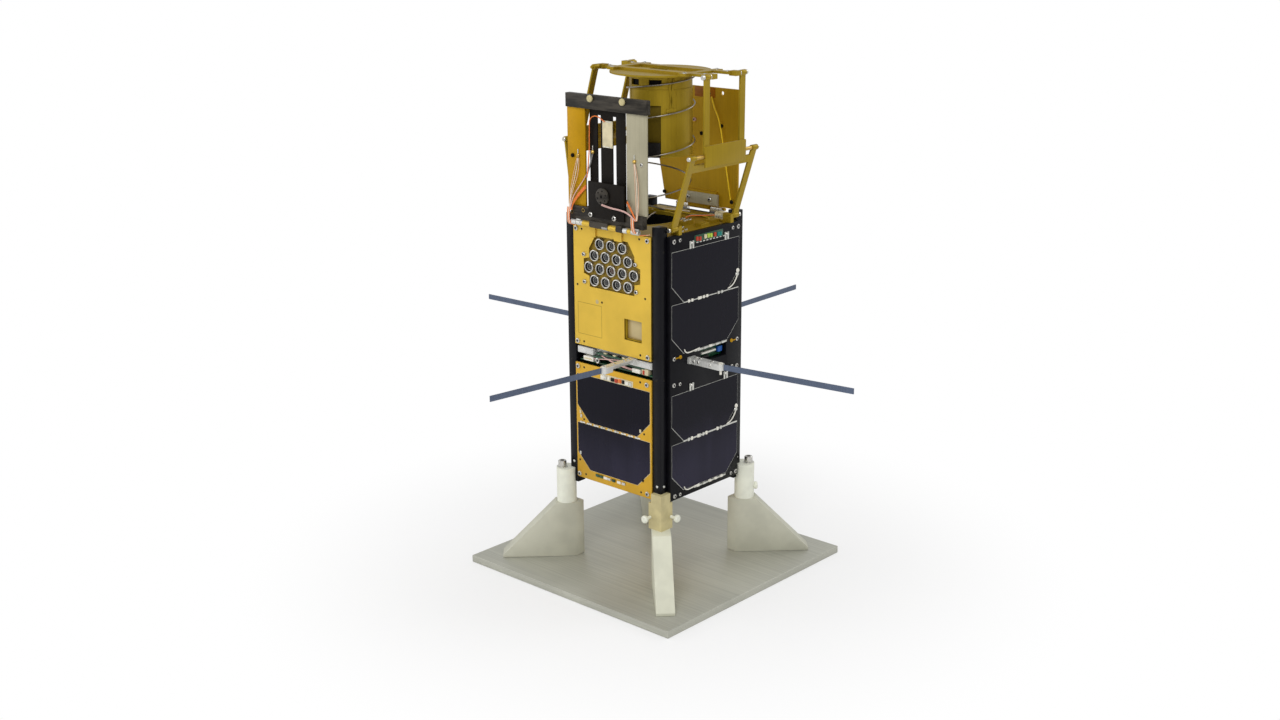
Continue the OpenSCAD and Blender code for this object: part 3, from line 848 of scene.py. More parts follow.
PANEL_SCREWS = [(-38, 288), (38, 288), (-38, 195.3), (38, 195.3)]
PANEL_SMALL_SCREWS = [(-29.6, 268.1), (-29, 245.8), (25.6, 267.6), (26.4, 245.9)]
PANEL_HOLES = [(-32, 288), (29.4, 288.2), (-37.5, 242.2), (35.3, 242), (-31.2, 195.7), (29.9, 195.7),
               (-10.8, 231.4)]
LOWER_SCREWS = [(-38.2, 173.8), (36.8, 172.8), (-38.4, 80.9), (36.8, 81.5)]
LOWER_HOLES = [(-31.7, 173.7), (29.5, 173.5), (-31.5, 81.6), (29.8, 81.2), (-38.1, 93), (-32.7, 129.1),
               (33.4, 131.2)]


class NANOSAT_OT_panel_screws(Step, bpy.types.Operator):
    """Screws and small holes of the two gold panels"""

    bl_idname = "nanosat.panel_screws"
    bl_label = "Gold panel screws"

    def build(self, context):
        shape = Shape()
        big = sizes().screw_r / MM
        small = sizes().hole_r / MM
        random.seed(4)
        for x, z in PANEL_SCREWS + LOWER_SCREWS:
            shape.screw((x, SIDE_A_Y, z), (0, -1, 0), big, "steel", 1.1, "cross", random.uniform(0, 1.5))
        for x, z in PANEL_SMALL_SCREWS:
            shape.screw((x, SIDE_A_Y, z), (0, -1, 0), 1.9, "steel", 1.5, "cross", random.uniform(0, 1.5))
        for x, z in PANEL_HOLES + LOWER_HOLES:
            shape.hole((x, SIDE_A_Y, z), (0, -1, 0), small)
        shape.turned([(0, 0.03), (1.6, 0.03), (1.7, 0)], facing((-16.1, SIDE_A_Y, 231.1), (0, -1, 0)),
                     "window", 16)
        shape.done("gold_panel_screws", "root")


CAN_ROWS = [(278.4, (-12, 0, 12)), (268.5, (-18, -6, 6, 18)), (258.4, (-24, -12, 0, 12, 24)),
            (248.3, (-18, -6, 6, 18))]


class NANOSAT_OT_sensors(Step, bpy.types.Operator):
    """Round sensors: steel rim, dark sleeve and a domed lens"""

    bl_idname = "nanosat.sensors"
    bl_label = "Round sensors"

    def build(self, context):
        shape = Shape()
        floor_y = SIDE_A_Y + 2
        for z, row in CAN_ROWS:
            for x in row:
                place = facing((x, floor_y, z), (0, -1, 0))
                rim = [(0, 0), (4.7, 0), (4.7, 2.9), (4.45, 3.25), (4.0, 3.4), (3.65, 3.2), (3.55, 2.5),
                       (3.55, 0.8)]
                shape.turned(rim, place, "steel", 30)
                sleeve = [(3.55, 1.0), (3.5, 2.3), (3.1, 2.5), (2.9, 1.4), (2.9, 0.9), (0, 0.9)]
                shape.turned(sleeve, place, "rubber", 24)
                warm = (x, z) == (0, 258.4)
                lens = [(2.9, 0.95), (2.5, 1.35), (1.7, 1.75), (0.8, 1.95), (0, 2.0)]
                shape.turned(lens, place, "lens_warm" if warm else "glass", 24)
                inner = [(2.95, 1.3), (2.75, 1.55), (2.5, 1.45), (2.6, 1.2)]
                shape.turned(inner, place, "solder", 24)
        made = shape.done("round_sensors", "root")
        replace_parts(made, "sensor_cans")


class NANOSAT_OT_window(Step, bpy.types.Operator):
    """Square window of the gold panel: film on its floor and a thin frame"""

    bl_idname = "nanosat.window"
    bl_label = "Square window"

    def build(self, context):
        shape = Shape()
        shape.block((13.6, SIDE_A_Y + 3.1, 206.1), (30.9, SIDE_A_Y + 3.5, 221.9), "window", 0.1)
        frame_low, frame_high = (13.1, 205.6), (31.4, 222.4)
        for low, high in (
            (frame_low, (frame_low[0] + 1.3, frame_high[1])),
            (frame_low, (frame_high[0], frame_low[1] + 0.9)),
        ):
            shape.block((low[0], SIDE_A_Y + 1.2, low[1]), (high[0], SIDE_A_Y + 3.3, high[1]), "deck",
                        0.15)
        shape.done("square_window", "root")


def cell_outline(half, low, high, cut):
    """A cell's outline with its two lower corners cut off."""
    return [
        (-half, high),
        (-half, low + cut),
        (-half + cut, low),
        (half - cut, low),
        (half, low + cut),
        (half, high),
    ]


CELLS_A = [(127.6, 167.3), (86.4, 125.5)]
CELLS_B = [(238, 279), (196.7, 237.2), (124.3, 164), (82.5, 123)]


class NANOSAT_OT_cells(Step, bpy.types.Operator):
    """Solar cells of all four sides, with the bright outline of their glass"""

    bl_idname = "nanosat.cells"
    bl_label = "Solar cells"

    def build(self, context):
        thick = sizes().cell_t / MM
        for side, half, cut, rows, out in (
            ("a", 39.6, 13.5, CELLS_A, -SIDE_A_Y),
            ("b", 40.6, 14.0, CELLS_B, SIDE_B_X),
            ("c", 40.6, 14.0, CELLS_B, SIDE_B_X),
            ("d", 40.6, 14.0, CELLS_B, SIDE_B_X),
        ):
            turn = -90 if side == "a" else SIDE_TURNS[side]
            upright = Matrix.Rotation(math.radians(turn), 4, "Z") @ Matrix.Rotation(math.pi / 2, 4, "Z")
            stand = upright @ Matrix.Rotation(math.pi / 2, 4, "X")
            shape = Shape()
            for low, high in rows:
                place = stand @ Matrix.Translation((0, 0, out * MM))
                shape.sheet(cell_outline(half, low, high, cut), thick, place, "cell")
                rim = cell_outline(half + 0.25, low - 0.25, high + 0.25, cut)
                shape.sheet(rim, thick * 0.5, place, "solder" if side != "a" else "beige")
            shape.done("solar_cells_" + side, "root")


def on_side(turn, side_y, side_z, out):
    """A point on a solar side, from its place across, its height and its distance out."""
    return Matrix.Rotation(math.radians(turn), 4, "Z") @ Vector((SIDE_B_X + out, side_y, side_z))


class NANOSAT_OT_solar_trim(Step, bpy.types.Operator):
    """Screws, tabs, coloured components, jumpers and bus wires of the three solar sides"""

    bl_idname = "nanosat.solar_trim"
    bl_label = "Solar side trim"

    def build(self, context):
        for side, turn in SIDE_TURNS.items():
            self.fittings(side, turn)
            self.bus_wires(side, turn)

    def fittings(self, side, turn):
        """Screws, tabs and components of one side."""
        shape = Shape()
        random.seed(11 + turn)
        around = Matrix.Rotation(math.radians(turn), 4, "Z")
        normal = around.to_3x3() @ Vector((1, 0, 0))
        for y, z, radius in (
            (-38.4, 287.4, 1.9), (-31.5, 287.6, 1.5), (32.6, 287.3, 1.5), (39.4, 287.3, 1.9),
            (-38.6, 172.9, 1.9), (-31.4, 172.4, 1.5), (33, 172.8, 1.5), (39.2, 171.8, 1.9),
            (-37.6, 79.9, 1.9), (-31, 79.8, 1.5), (33, 80, 1.5), (39.2, 80, 1.9),
            (-38.4, 194.2, 1.7), (39.2, 194.4, 1.7),
        ):
            shape.screw(on_side(turn, y, z, 0), normal, radius, "steel", 1.0, "cross",
                        random.uniform(0, 1.5))
        for y, z in ((-30.6, 194.3), (32.4, 194.4)):
            shape.turned([(0, 0.9), (1.2, 0.9), (1.6, 0.4), (1.6, 0)],
                         facing(on_side(turn, y, z, 0), normal), "amber", 14)
        for y in (-34.5, 35.8):
            low = (SIDE_B_X, y - 3.2, 193.8)
            shape.block(low, (SIDE_B_X + 0.5, y + 3.2, 194.8), "amber", 0.15, around)
        shape.block((SIDE_B_X - 0.1, -14, 283.2), (SIDE_B_X + 0.25, 20.5, 288.4), "circuit", 0.1, around)
        parts = ((-11.4, "red"), (-7.9, "red"), (-1.4, "beige"), (2.2, "lime"), (5.4, "lime"),
                 (10.2, "red"), (14.2, "teal"), (16.9, "teal"))
        for y, finish in parts:
            high = 285.4 + random.uniform(0, 0.8)
            shape.block((SIDE_B_X, y - 1.25, high - 2), (SIDE_B_X + 1.4, y + 1.25, high + 1.4), finish,
                        0.5, around)
        for y in range(-12, 21, 4):
            shape.block((SIDE_B_X, y, 282.2), (SIDE_B_X + 0.5, y + 2.4, 283.1), "solder", 0.15, around)
        for y, z in ((-17.5, 281.8), (25, 282), (-17.2, 166.9), (25.2, 166.9)):
            for shift in (-1.6, 1.6):
                low = (SIDE_B_X, y + shift - 1.0, z - 3.0)
                shape.block(low, (SIDE_B_X + 0.7, y + shift + 1.0, z + 3.2), "solder", 0.25, around)
            shape.turned([(0, 1.5), (1.1, 1.5), (1.5, 0.9), (1.5, 0)],
                         facing(on_side(turn, y, z + 1.5, 0), normal), "steel", 14)
        for low_z, high_z in ((237.2, 238.0), (123.0, 124.3)):
            shape.block((SIDE_B_X, -27, low_z), (SIDE_B_X + 0.45, 40.4, high_z), "solder", 0.1, around)
            for y in (-22, -18, -10, -8, -4, 0, 14, 18):
                shape.block((SIDE_B_X, y, low_z - 0.6), (SIDE_B_X + 1.0, y + 2.2, high_z + 0.9),
                            random.choice(["white", "solder"]), 0.25, around)
        for y0, y1, z in ((-14, 26, 196.0), (-14, 26, 81.4)):
            shape.block((SIDE_B_X, y0, z - 1.0), (SIDE_B_X + 0.7, y1, z + 0.3), "solder", 0.2, around)
            for step in range(5):
                y = y0 + 3 + step * 7.4
                shape.block((SIDE_B_X, y, z - 0.9), (SIDE_B_X + 1.5, y + 3.4, z + 0.9),
                            random.choice(["white", "solder"]), 0.3, around)
        shape.block((SIDE_B_X - 5.6, -5.6, 184.4), (SIDE_B_X - 5.0, 25.6, 194.6), "circuit", 0.1, around)
        shape.block((SIDE_B_X - 5.2, -1, 189.2), (SIDE_B_X - 2.4, 16, 190.8), "white", 0.3, around)
        shape.block((SIDE_B_X - 5.2, 19, 187), (SIDE_B_X - 2.6, 24.4, 191.6), "blue", 0.4, around)
        shape.block((SIDE_B_X - 5.2, -4, 185.2), (SIDE_B_X - 3.0, 8, 187.2), "rubber", 0.3, around)
        shape.done("solar_fittings_" + side, "root")

    def bus_wires(self, side, turn):
        """The curved white leads at the cells' corners."""
        runs = []
        for top in (0.0, -114.2):
            points = [(26.8, 239), (31, 239.6), (35.2, 242.4), (38.6, 247.6), (39.8, 252.4)]
            runs.append([on_side(turn, y, z + top, 0.75) for y, z in points])
        for low in (0.0, -114.6):
            points = [(-26.4, 199.6), (-25.4, 196.8), (-22, 195.6), (-16, 196.4), (-8, 197)]
            runs.append([on_side(turn, y, z + low, 0.8) for y, z in points])
        wire_mesh("bus_wires_" + side, runs, 0.5, "white", "root")
        shape = Shape()
        normal = Matrix.Rotation(math.radians(turn), 3, "Z") @ Vector((1, 0, 0))
        for top in (0.0, -114.2):
            lump = [(0, 1.7), (0.9, 1.5), (1.6, 0.8), (1.8, 0)]
            shape.turned(lump, facing(on_side(turn, 39.2, 251.5 + top, 0), normal), "white", 14)
            shape.turned(lump, facing(on_side(turn, 38.6, 248.6 + top, 0), normal), "solder", 14)
        shape.done("bus_wire_joints_" + side, "root")


class NANOSAT_OT_lower_trim(Step, bpy.types.Operator):
    """Components along the cell edges of the lower gold panel"""

    bl_idname = "nanosat.lower_trim"
    bl_label = "Lower panel trim"

    def build(self, context):
        shape = Shape()
        random.seed(21)
        y = SIDE_A_Y
        shape.block((-13.5, y - 0.3, 167.3), (22, y, 172.4), "beige", 0.1)
        for x, wide, finish in ((-12.6, 3.2, "white"), (-8.6, 2.6, "solder"), (-5.2, 2.4, "white"),
                                (-1.6, 3.4, "rubber"),
                                (2.6, 3.0, "red"), (6.2, 3.6, "orange"), (10.6, 2.4, "rubber"), (13.8,
                                    3.6, "white"), (18.2, 2.8, "solder")):
            low = 168.2 + random.uniform(-0.4, 0.5)
            shape.block((x, y - 1.1, low), (x + wide, y, low + 3.1), finish, 0.35)
        for step in range(9):
            x = -37 + step * 7.6
            shape.block((x, y - 0.6, 126.0), (x + 5.6, y, 127.0),
                        random.choice(["white", "solder", "beige"]), 0.2)
            shape.block((x + 1.2, y - 0.9, 125.7), (x + 3.0, y, 127.3), "solder", 0.2)
        for x, finish in ((-20, "circuit"), (-15.6, "circuit"), (-11, "white"), (-7, "solder"),
                          (-2, "circuit"), (4, "white"), (9, "solder")):
            shape.block((x, y - 0.9, 82.6), (x + 3.8, y, 84.8), finish, 0.3)
        for x, z in ((-36.4, 135), (-35.6, 131.6), (29.6, 133), (31.8, 134.6), (-37, 99.4), (32, 92)):
            shape.block((x - 0.9, y - 0.6, z - 1.4), (x + 0.9, y, z + 1.4),
                        random.choice(["beige", "rubber", "solder"]), 0.25)
        shape.done("lower_panel_parts", "root")


class NANOSAT_OT_mid_gap(Step, bpy.types.Operator):
    """Boards, connectors, ring and leads of the antenna module in the gap of the gold side"""

    bl_idname = "nanosat.mid_gap"
    bl_label = "Antenna module"

    def build(self, context):
        shape = Shape()
        shape.block((-39, -47.6, 178.4), (40, -38, 179.6), "circuit", 0.1)
        shape.block((-20, -49.0, 187.0), (20, -38, 188.2), "circuit", 0.1)
        shape.block((-24, -49.6, 184.0), (33, -44, 184.9), "circuit", 0.1)
        shape.block((-33.5, -49.8, 179.7), (-23, -44, 183.3), "white", 0.4)
        shape.block((-32.4, -50.0, 181.0), (-24, -49.6, 182.2), "beige", 0.1)
        shape.block((19.6, -49.8, 179.6), (28, -44, 183.0), "white", 0.4)
        shape.block((29.8, -49.6, 179.6), (36.5, -45, 184.6), "beige", 0.4)
        shape.block((31, -50, 180), (33, -49.4, 183.4), "red", 0.2)
        ring = [(1.0, 0), (2.3, 0), (2.3, 1.6), (1.7, 1.9), (1.0, 1.6)]
        shape.turned([*ring, ring[0]], facing((-18.2, -48.2, 181.6), (0, -1, 0)), "steel", 20)
        for x in range(-12, 18, 5):
            shape.block((x, -48.8, 188.2), (x + 3, -46.8, 189.4), "rubber" if x % 2 else "beige", 0.25)
        for x0, x1 in ((-38.2, -22.8), (21.8, 40.2)):
            shape.block((x0, -50.9, 186.4), (x1, -50.45, 190.2), "bare", 0.15)
        shape.done("antenna_module_parts", "root")
        loose = [
            [(-14, -48.8, 186.2), (-4, -50.2, 184.4), (8, -50.0, 182.6), (20, -48.8, 181.6)],
            [(-12, -48.6, 185.4), (-2, -49.8, 183.2), (10, -49.6, 181.4), (20, -48.6, 180.8)],
            [(-23, -48.6, 182.2), (-14, -50.2, 183.6), (-4, -49.8, 185.8), (8, -48.4, 186.2)],
        ]
        wire_mesh("antenna_module_leads", loose, 0.4, "pink", "root")


ARMS = {"a": (0, 22, 50.5), "b": (90, -18, 53.5), "c": (180, 22, 53.5), "d": (270, -22, 53.5)}


class NANOSAT_OT_antennas(Step, bpy.types.Operator):
    """Fasteners, rings and pins of the four antenna arms"""

    bl_idname = "nanosat.antennas"
    bl_label = "Antenna fittings"

    def build(self, context):
        shape = Shape()
        for turn, across, start in ARMS.values():
            around = Matrix.Rotation(math.radians(turn), 4, "Z")
            for step in (5.5, 10, 22):
                at = around @ Vector((across, -start - step, ARM_Z + 2.5))
                shape.turned([(0, 0.7), (1.0, 0.7), (1.4, 0.3), (1.4, 0)], facing(at, (0, 0, 1)), "steel",
                             16)
            for step in (5.5, 10, 22):
                out = around.to_3x3() @ Vector((-1, 0, 0))
                at = around @ Vector((across - 3, -start - step, ARM_Z))
                shape.turned([(0, 0.5), (0.9, 0.5), (1.2, 0.2), (1.2, 0)], facing(at, out), "steel", 16)
            tip = around @ Vector((across, -84, ARM_Z))
            ring = [(1.0, 2.5), (2.0, 2.5), (2.0, 3.0), (1.7, 3.2), (1.0, 3.1), (1.0, 2.5)]
            shape.turned(ring, facing(tip, (0, 0, 1)), "white", 20)
            # Dark disc of painted shade in the ring's hole.
            shape.turned([(0, 2.7), (1.0, 2.7)], facing(tip, (0, 0, 1)), "dark", 16)
            shape.rod(tip + Vector((0, 0, -6.4)), tip + Vector((0, 0, -2.4)), 1.0, "white", 0.3)
        shape.done("antenna_arm_fasteners", "root")


SPRING_TURNS = 4
SPRING_R = 27.0


class NANOSAT_OT_telescope(Step, bpy.types.Operator):
    """Details of the telescope head: tube seams, black block, brace, hinge sleeves, pins and screws"""

    bl_idname = "nanosat.telescope"
    bl_label = "Telescope head"

    def build(self, context):
        self.tube_details()
        self.head_details()
        self.spring()

    def tube_details(self):
        """Seams, end rings, a lining and inner disc of painted shade behind the windows, and the block in
        the notch in a darker olive of painted shade.
        """
        shape = Shape()
        lining = TUBE_R - 1.9
        place = Matrix.Translation((TUBE_X * MM, 0, 0))
        # Dark lining and inner disc of painted shade inside the tube, behind its windows.
        shape.turned([(lining, 398), (lining, 408), (lining - 0.4, 408), (lining - 0.4, 398),
                      (lining, 398)], place, "dark", 48)
        shape.turned([(0, 406), (lining - 0.2, 406), (lining - 0.2, 405.6), (0, 405.6)], place, "dark",
                     48)
        for low, high in ((346.0, 347.4), (397.6, 398.4)):
            band = [(TUBE_R, low), (TUBE_R + 0.35, low + 0.15), (TUBE_R + 0.35, high - 0.15),
                    (TUBE_R, high), (TUBE_R, low)]
            shape.turned(band, place, "olive", 64)
        for angle in (-118, -20, 40, 130, 200):
            spin = Matrix.Rotation(math.radians(angle), 4, "Z")
            shape.block((TUBE_R - 0.2, -0.25, 347), (TUBE_R + 0.25, 0.25, 397.6), "olive", 0.1,
                        place @ spin)
        notch = place @ Matrix.Rotation(math.radians(-64), 4, "Z")
        # The notch block's darker olive is painted shade of the recess; the black block below it is a real
        # part.
        shape.block((TUBE_R - 3.4, -6.4, 349.2), (TUBE_R - 2.0, 6.4, 385.8), "notch", 0.2, notch)
        shape.block((TUBE_R - 5.0, -6.4, 346.2), (TUBE_R + 1.2, 6.4, 357.5), "rubber", 0.6, notch)
        brace = place @ Matrix.Rotation(math.radians(-30), 4, "Z")
        for sign in (-1, 1):
            lean = Matrix.Translation((0, 0, 383 * MM)) @ Matrix.Rotation(math.radians(7 * sign), 4, "X")
            shape.block((TUBE_R - 0.1, -0.9 + sign * 0.8, 0), (TUBE_R + 0.8, 0.9 + sign * 0.8, 23.6),
                        "olive", 0.2, brace @ lean)
        shape.block((TUBE_R - 0.2, -4.2, 380.6), (TUBE_R + 0.9, 4.2, 383.4), "olive", 0.3, brace)
        shape.done("tube_details", "head")

    def head_details(self):
        """Sleeves on the hinge pins, flange lip, knee pins and screws."""
        shape = Shape()
        top = HEAD_PIN_Z + 1.0
        for sign in (-1, 1):
            for start, end, radius, edge in ((24.2, 26.2, 1.9, 0.3), (17.05, 17.9, 2.2, 0.2)):
                ends = [(HEAD_PIN_X, sign * y, HEAD_PIN_Z) for y in (start, end)]
                shape.rod(*ends, radius, "steel", edge)
        for x, y in ((-35, 13.2), (-35, -13.2), (63, 13.2), (63, -13.2), (-27, 19), (-27, -19),
                     (47.5, 19), (47.5, -19)):
            shape.screw((x, y, top), (0, 0, 1), 1.5, "steel", 0.7, "cross", 0.7)
        place = Matrix.Translation((TUBE_X * MM, 0, 0))
        lip = [(38.6, 409.2), (39.7, 409.2), (40.0, 409.5), (40.0, 410.3), (39.7, 410.6), (38.6, 410.6)]
        shape.turned([*lip, lip[0]], place, "olive", 72)
        shape.done("head_details", "head")
        for letter, sign in (("b", 1), ("d", -1)):
            shape = Shape()
            knee_x, knee_z = KNEES[letter]
            for y in (-1, 1):
                shape.rod((knee_x, y * 40.02, knee_z), (knee_x, y * 41.6, knee_z), 1.7, "steel", 0.3)
                shape.rod((knee_x, y * 24.05, knee_z), (knee_x, y * 33.4, knee_z), 1.5, "brass", 0.2)
            shape.done("knee_pins_" + letter, "lower_link_" + letter)
            shape = Shape()
            for y in (-1, 1):
                for start, end, radius, finish, edge in ((41.5, 43.2, 1.8, "steel", 0.3),
                                                         (32.9, 33.45, 2.0, "brass", 0.15)):
                    ends = [(sign * FOOT_PIN_X, y * reach, FOOT_PIN_Z) for reach in (start, end)]
                    shape.rod(*ends, radius, finish, edge)
            shape.done("foot_pins_" + letter, "root")

    def spring(self):
        """Steel wire wound round the tube and down to the deck's opening."""
        low, high = 292.5, 408.2
        count = SPRING_TURNS * 18
        run = []
        for k in range(count + 1):
            t = k / count
            foot = max(0.0, 1 - t / SPRING_DRIFT)
            angle = math.radians(SPRING_PHASE) + 2 * math.pi * SPRING_TURNS * t
            centre = TUBE_X - (TUBE_X - HOLE_X) * foot
            radius = SPRING_R + SPRING_FLARE * foot
            height = low + (high - low) * (1 - (1 - t) ** SPRING_POWER)
            run.append((centre + radius * math.cos(angle), radius * math.sin(angle), height))
        made = wire_mesh("wire_spring", [run], sizes().spring_wire_r / MM, "wire_steel", "root")
        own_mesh(made)
        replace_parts(made, "spring")


class NANOSAT_OT_deck(Step, bpy.types.Operator):
    """Rim of the round opening, cable bundle, screws, connector and blocks on the deck"""

    bl_idname = "nanosat.deck"
    bl_label = "Deck details"

    def build(self, context):
        shape = Shape()
        z = DECK_Z
        place = Matrix.Translation((HOLE_X * MM, 0, 0))
        rim = HOLE_R - 0.1
        shape.turned([(rim + 0.2, z), (rim + 0.4, z + 0.4), (rim + 1.4, z + 0.4), (rim + 1.6, z),
                      (rim + 0.2, z)], place, "olive", 64)
        # Dark sleeve and floor of painted shade inside the round opening.
        shape.turned([(rim, z - 86), (rim, z - 3.2), (rim - 0.5, z - 3.2), (rim - 0.5, z - 86),
                      (rim, z - 86)], place, "dark", 48)
        shape.turned([(0, z - 86), (rim, z - 86), (rim, z - 87), (0, z - 87), (0, z - 86)], place, "dark",
                     48)
        random.seed(31)
        spots = [(x, y, z) for x, y in ((44, -13), (46, -20), (36, -26), (45, 31), (18, 38), (-4, 38),
                                        (-36, 38), (-44, 24),
                                        (-44, -24), (16, -37), (-20, -38), (34, -37), (38, 8), (36, -8))]
        spots += [(x, y, z + 3) for x, y in ((24, -0.5), (27.8, -0.8), (31.2, 0.4), (25, 3.4), (29.6,
            4.2), (24.4, 7.4), (30.6, 7.6))]
        for at in spots:
            finish = random.choice(["steel", "steel", "brass"])
            shape.screw(at, (0, 0, 1), random.uniform(1.1, 1.6), finish, 0.9, "cross",
                        random.uniform(0, 1.5))
        for step in range(3):
            shape.block((34.4 + step * 2.6, 34.2, z + 1.6), (35.8 + step * 2.6, 35.1, z + 3.6), "solder",
                        0.15)
        shape.block((32.9, 34.9, z), (42.1, 41.1, z + 5.6), "beige", 0.5)
        shape.done("deck_details", "root")
        bundle = [
            [(-40, 14, z - 20), (-37, 19, z - 8), (-32, 27, z + 2), (-22, 36, z + 1.2),
             (-8, 41, z + 0.8)],
            [(-36, 20, z - 20), (-32, 24, z - 7), (-26, 30, z + 1), (-12, 37, z + 1.6), (2, 41, z + 0.9)],
            [(10, 14, z - 22), (11, 17, z - 8), (13, 21, z + 1), (17, 26, z + 2), (24, 33, z + 1.4),
             (33, 37, z + 2.6)],
            [(8, 18, z - 22), (9, 21, z - 8), (11, 25, z + 1), (15, 30, z + 1.8), (24, 36, z + 1),
             (33, 39, z + 3)],
        ]
        wire_mesh("deck_leads_white", bundle[:2], 0.55, "cream", "root")
        wire_mesh("deck_leads_orange", bundle[2:3], 0.5, "orange", "root")
        wire_mesh("deck_leads_grey", bundle[3:], 0.5, "grey_wire", "root")
        strip = [(-40, 27, z + 0.8), (-14, 35, z + 1.2), (16, 34, z + 0.8), (34, 31, z + 0.8),
                 (46, 30, z + 0.8)]
        wire_mesh("deck_tube_line", [strip], 0.9, "olive", "root")


# name, finish, radius, and the points of each lead on the front panel
FRONT_WIRES = [
    ("loop", "orange", 0.42, [
        [(-3.7, -53, 375.2), (-6.4, -54, 377.4), (-10.2, -55, 379.9), (-15, -55.2, 378.5),
         (-18.6, -54.4, 375.4),
         (-19.6, -53.2, 369.9), (-20.2, -53, 361), (-19.8, -53.4, 352), (-19, -55.4, 345), (-19, -56,
             338), (-20, -56.4, 331)],
    ]),
    ("grey", "grey_wire", 0.6, [
        [(-17.4, -52.6, 349), (-17.3, -54.2, 343.4), (-18.2, -55.8, 337.1), (-21.4, -56, 331.2)],
    ]),
    ("left", "pink", 0.38, [
        [(-18.2, -55.4, 338), (-21.6, -56.1, 331.4), (-28.4, -56.1, 323.3), (-34.2, -57, 316),
         (-36.5, -58, 309), (-37, -58.4, 304)],
        [(-18.8, -55.8, 336), (-22.6, -56.3, 330), (-29.2, -56.3, 321.8), (-34.6, -57.2, 315),
         (-36, -58, 308.6), (-36.6, -58.4, 304)],
    ]),
    ("fan_a", "peach", 0.3, [
        [(-31.4, -55.4, 345), (-33.8, -56.1, 335.3), (-36.5, -56.4, 326.3), (-38, -57, 316.7),
         (-38, -57.8, 309), (-38, -58.4, 304)],
        [(-29.6, -55.4, 345), (-28.6, -56.1, 336.7), (-31.5, -56.4, 327.7), (-36.3, -57, 316.9),
         (-37.4, -57.8, 309), (-37.4, -58.4, 304)],
    ]),
    ("fan_b", "cream", 0.3, [
        [(-30.5, -55.4, 345), (-31.6, -56.1, 334.7), (-34.9, -56.4, 324.9), (-37.4, -57, 316),
         (-37.8, -57.8, 309), (-37.7, -58.4, 304)],
    ]),
    ("flat", "orange", 0.42, [
        [(-21.4, -56.1, 322.6 + k), (-25.6, -56.4, 318.8 + k), (-31, -57, 313.6 + k),
         (-34.4, -57.8, 308.6 + k * 0.6), (-36 + k * 0.3, -58.4, 304)]
        for k in (0, 0.8, 1.6, 2.4)
    ]),
    ("right_a", "peach", 0.3, [
        [(28.6, -55.4, 346.6), (30.1, -56.1, 334.8), (30.8, -56.4, 325), (32.6, -57.4, 312.5),
         (33, -58.4, 304)],
        [(29.6, -55.4, 346.6), (33.6, -56.1, 335.3), (34.2, -56.4, 323.9), (34.8, -57.4, 310.5),
         (34, -58.4, 304)],
    ]),
    ("right_b", "cream", 0.3, [
        [(29.1, -55.4, 346.6), (31.8, -56.1, 334.2), (32.4, -56.4, 323.7), (33.8, -57.4, 311.9),
         (33.5, -58.4, 304)],
    ]),
    ("right_c", "orange", 0.42, [
        [(21.9, -56.4, 316.2), (25.6, -57.4, 312.6), (30.2, -58, 308), (32.6, -58.6, 303.6)],
        [(22.6, -56.6, 317.4), (26.6, -57.8, 313.4), (31, -58.4, 308.6), (33.2, -58.6, 303.6)],
    ]),
    ("pale", "pink", 0.4, [
        [(-0.8, -60.6, 312.2), (5.8, -60.6, 311), (12.9, -60.4, 310.6), (19.8, -59.8, 310.2),
         (26.5, -59.2, 308.6), (32.3, -58.8, 304)],
        [(-0.2, -60.9, 313), (6.4, -61, 311.8), (13.3, -60.8, 311.3), (20.3, -60.1, 310.8),
         (27.2, -59.4, 309.2), (33, -58.9, 304)],
    ]),
]


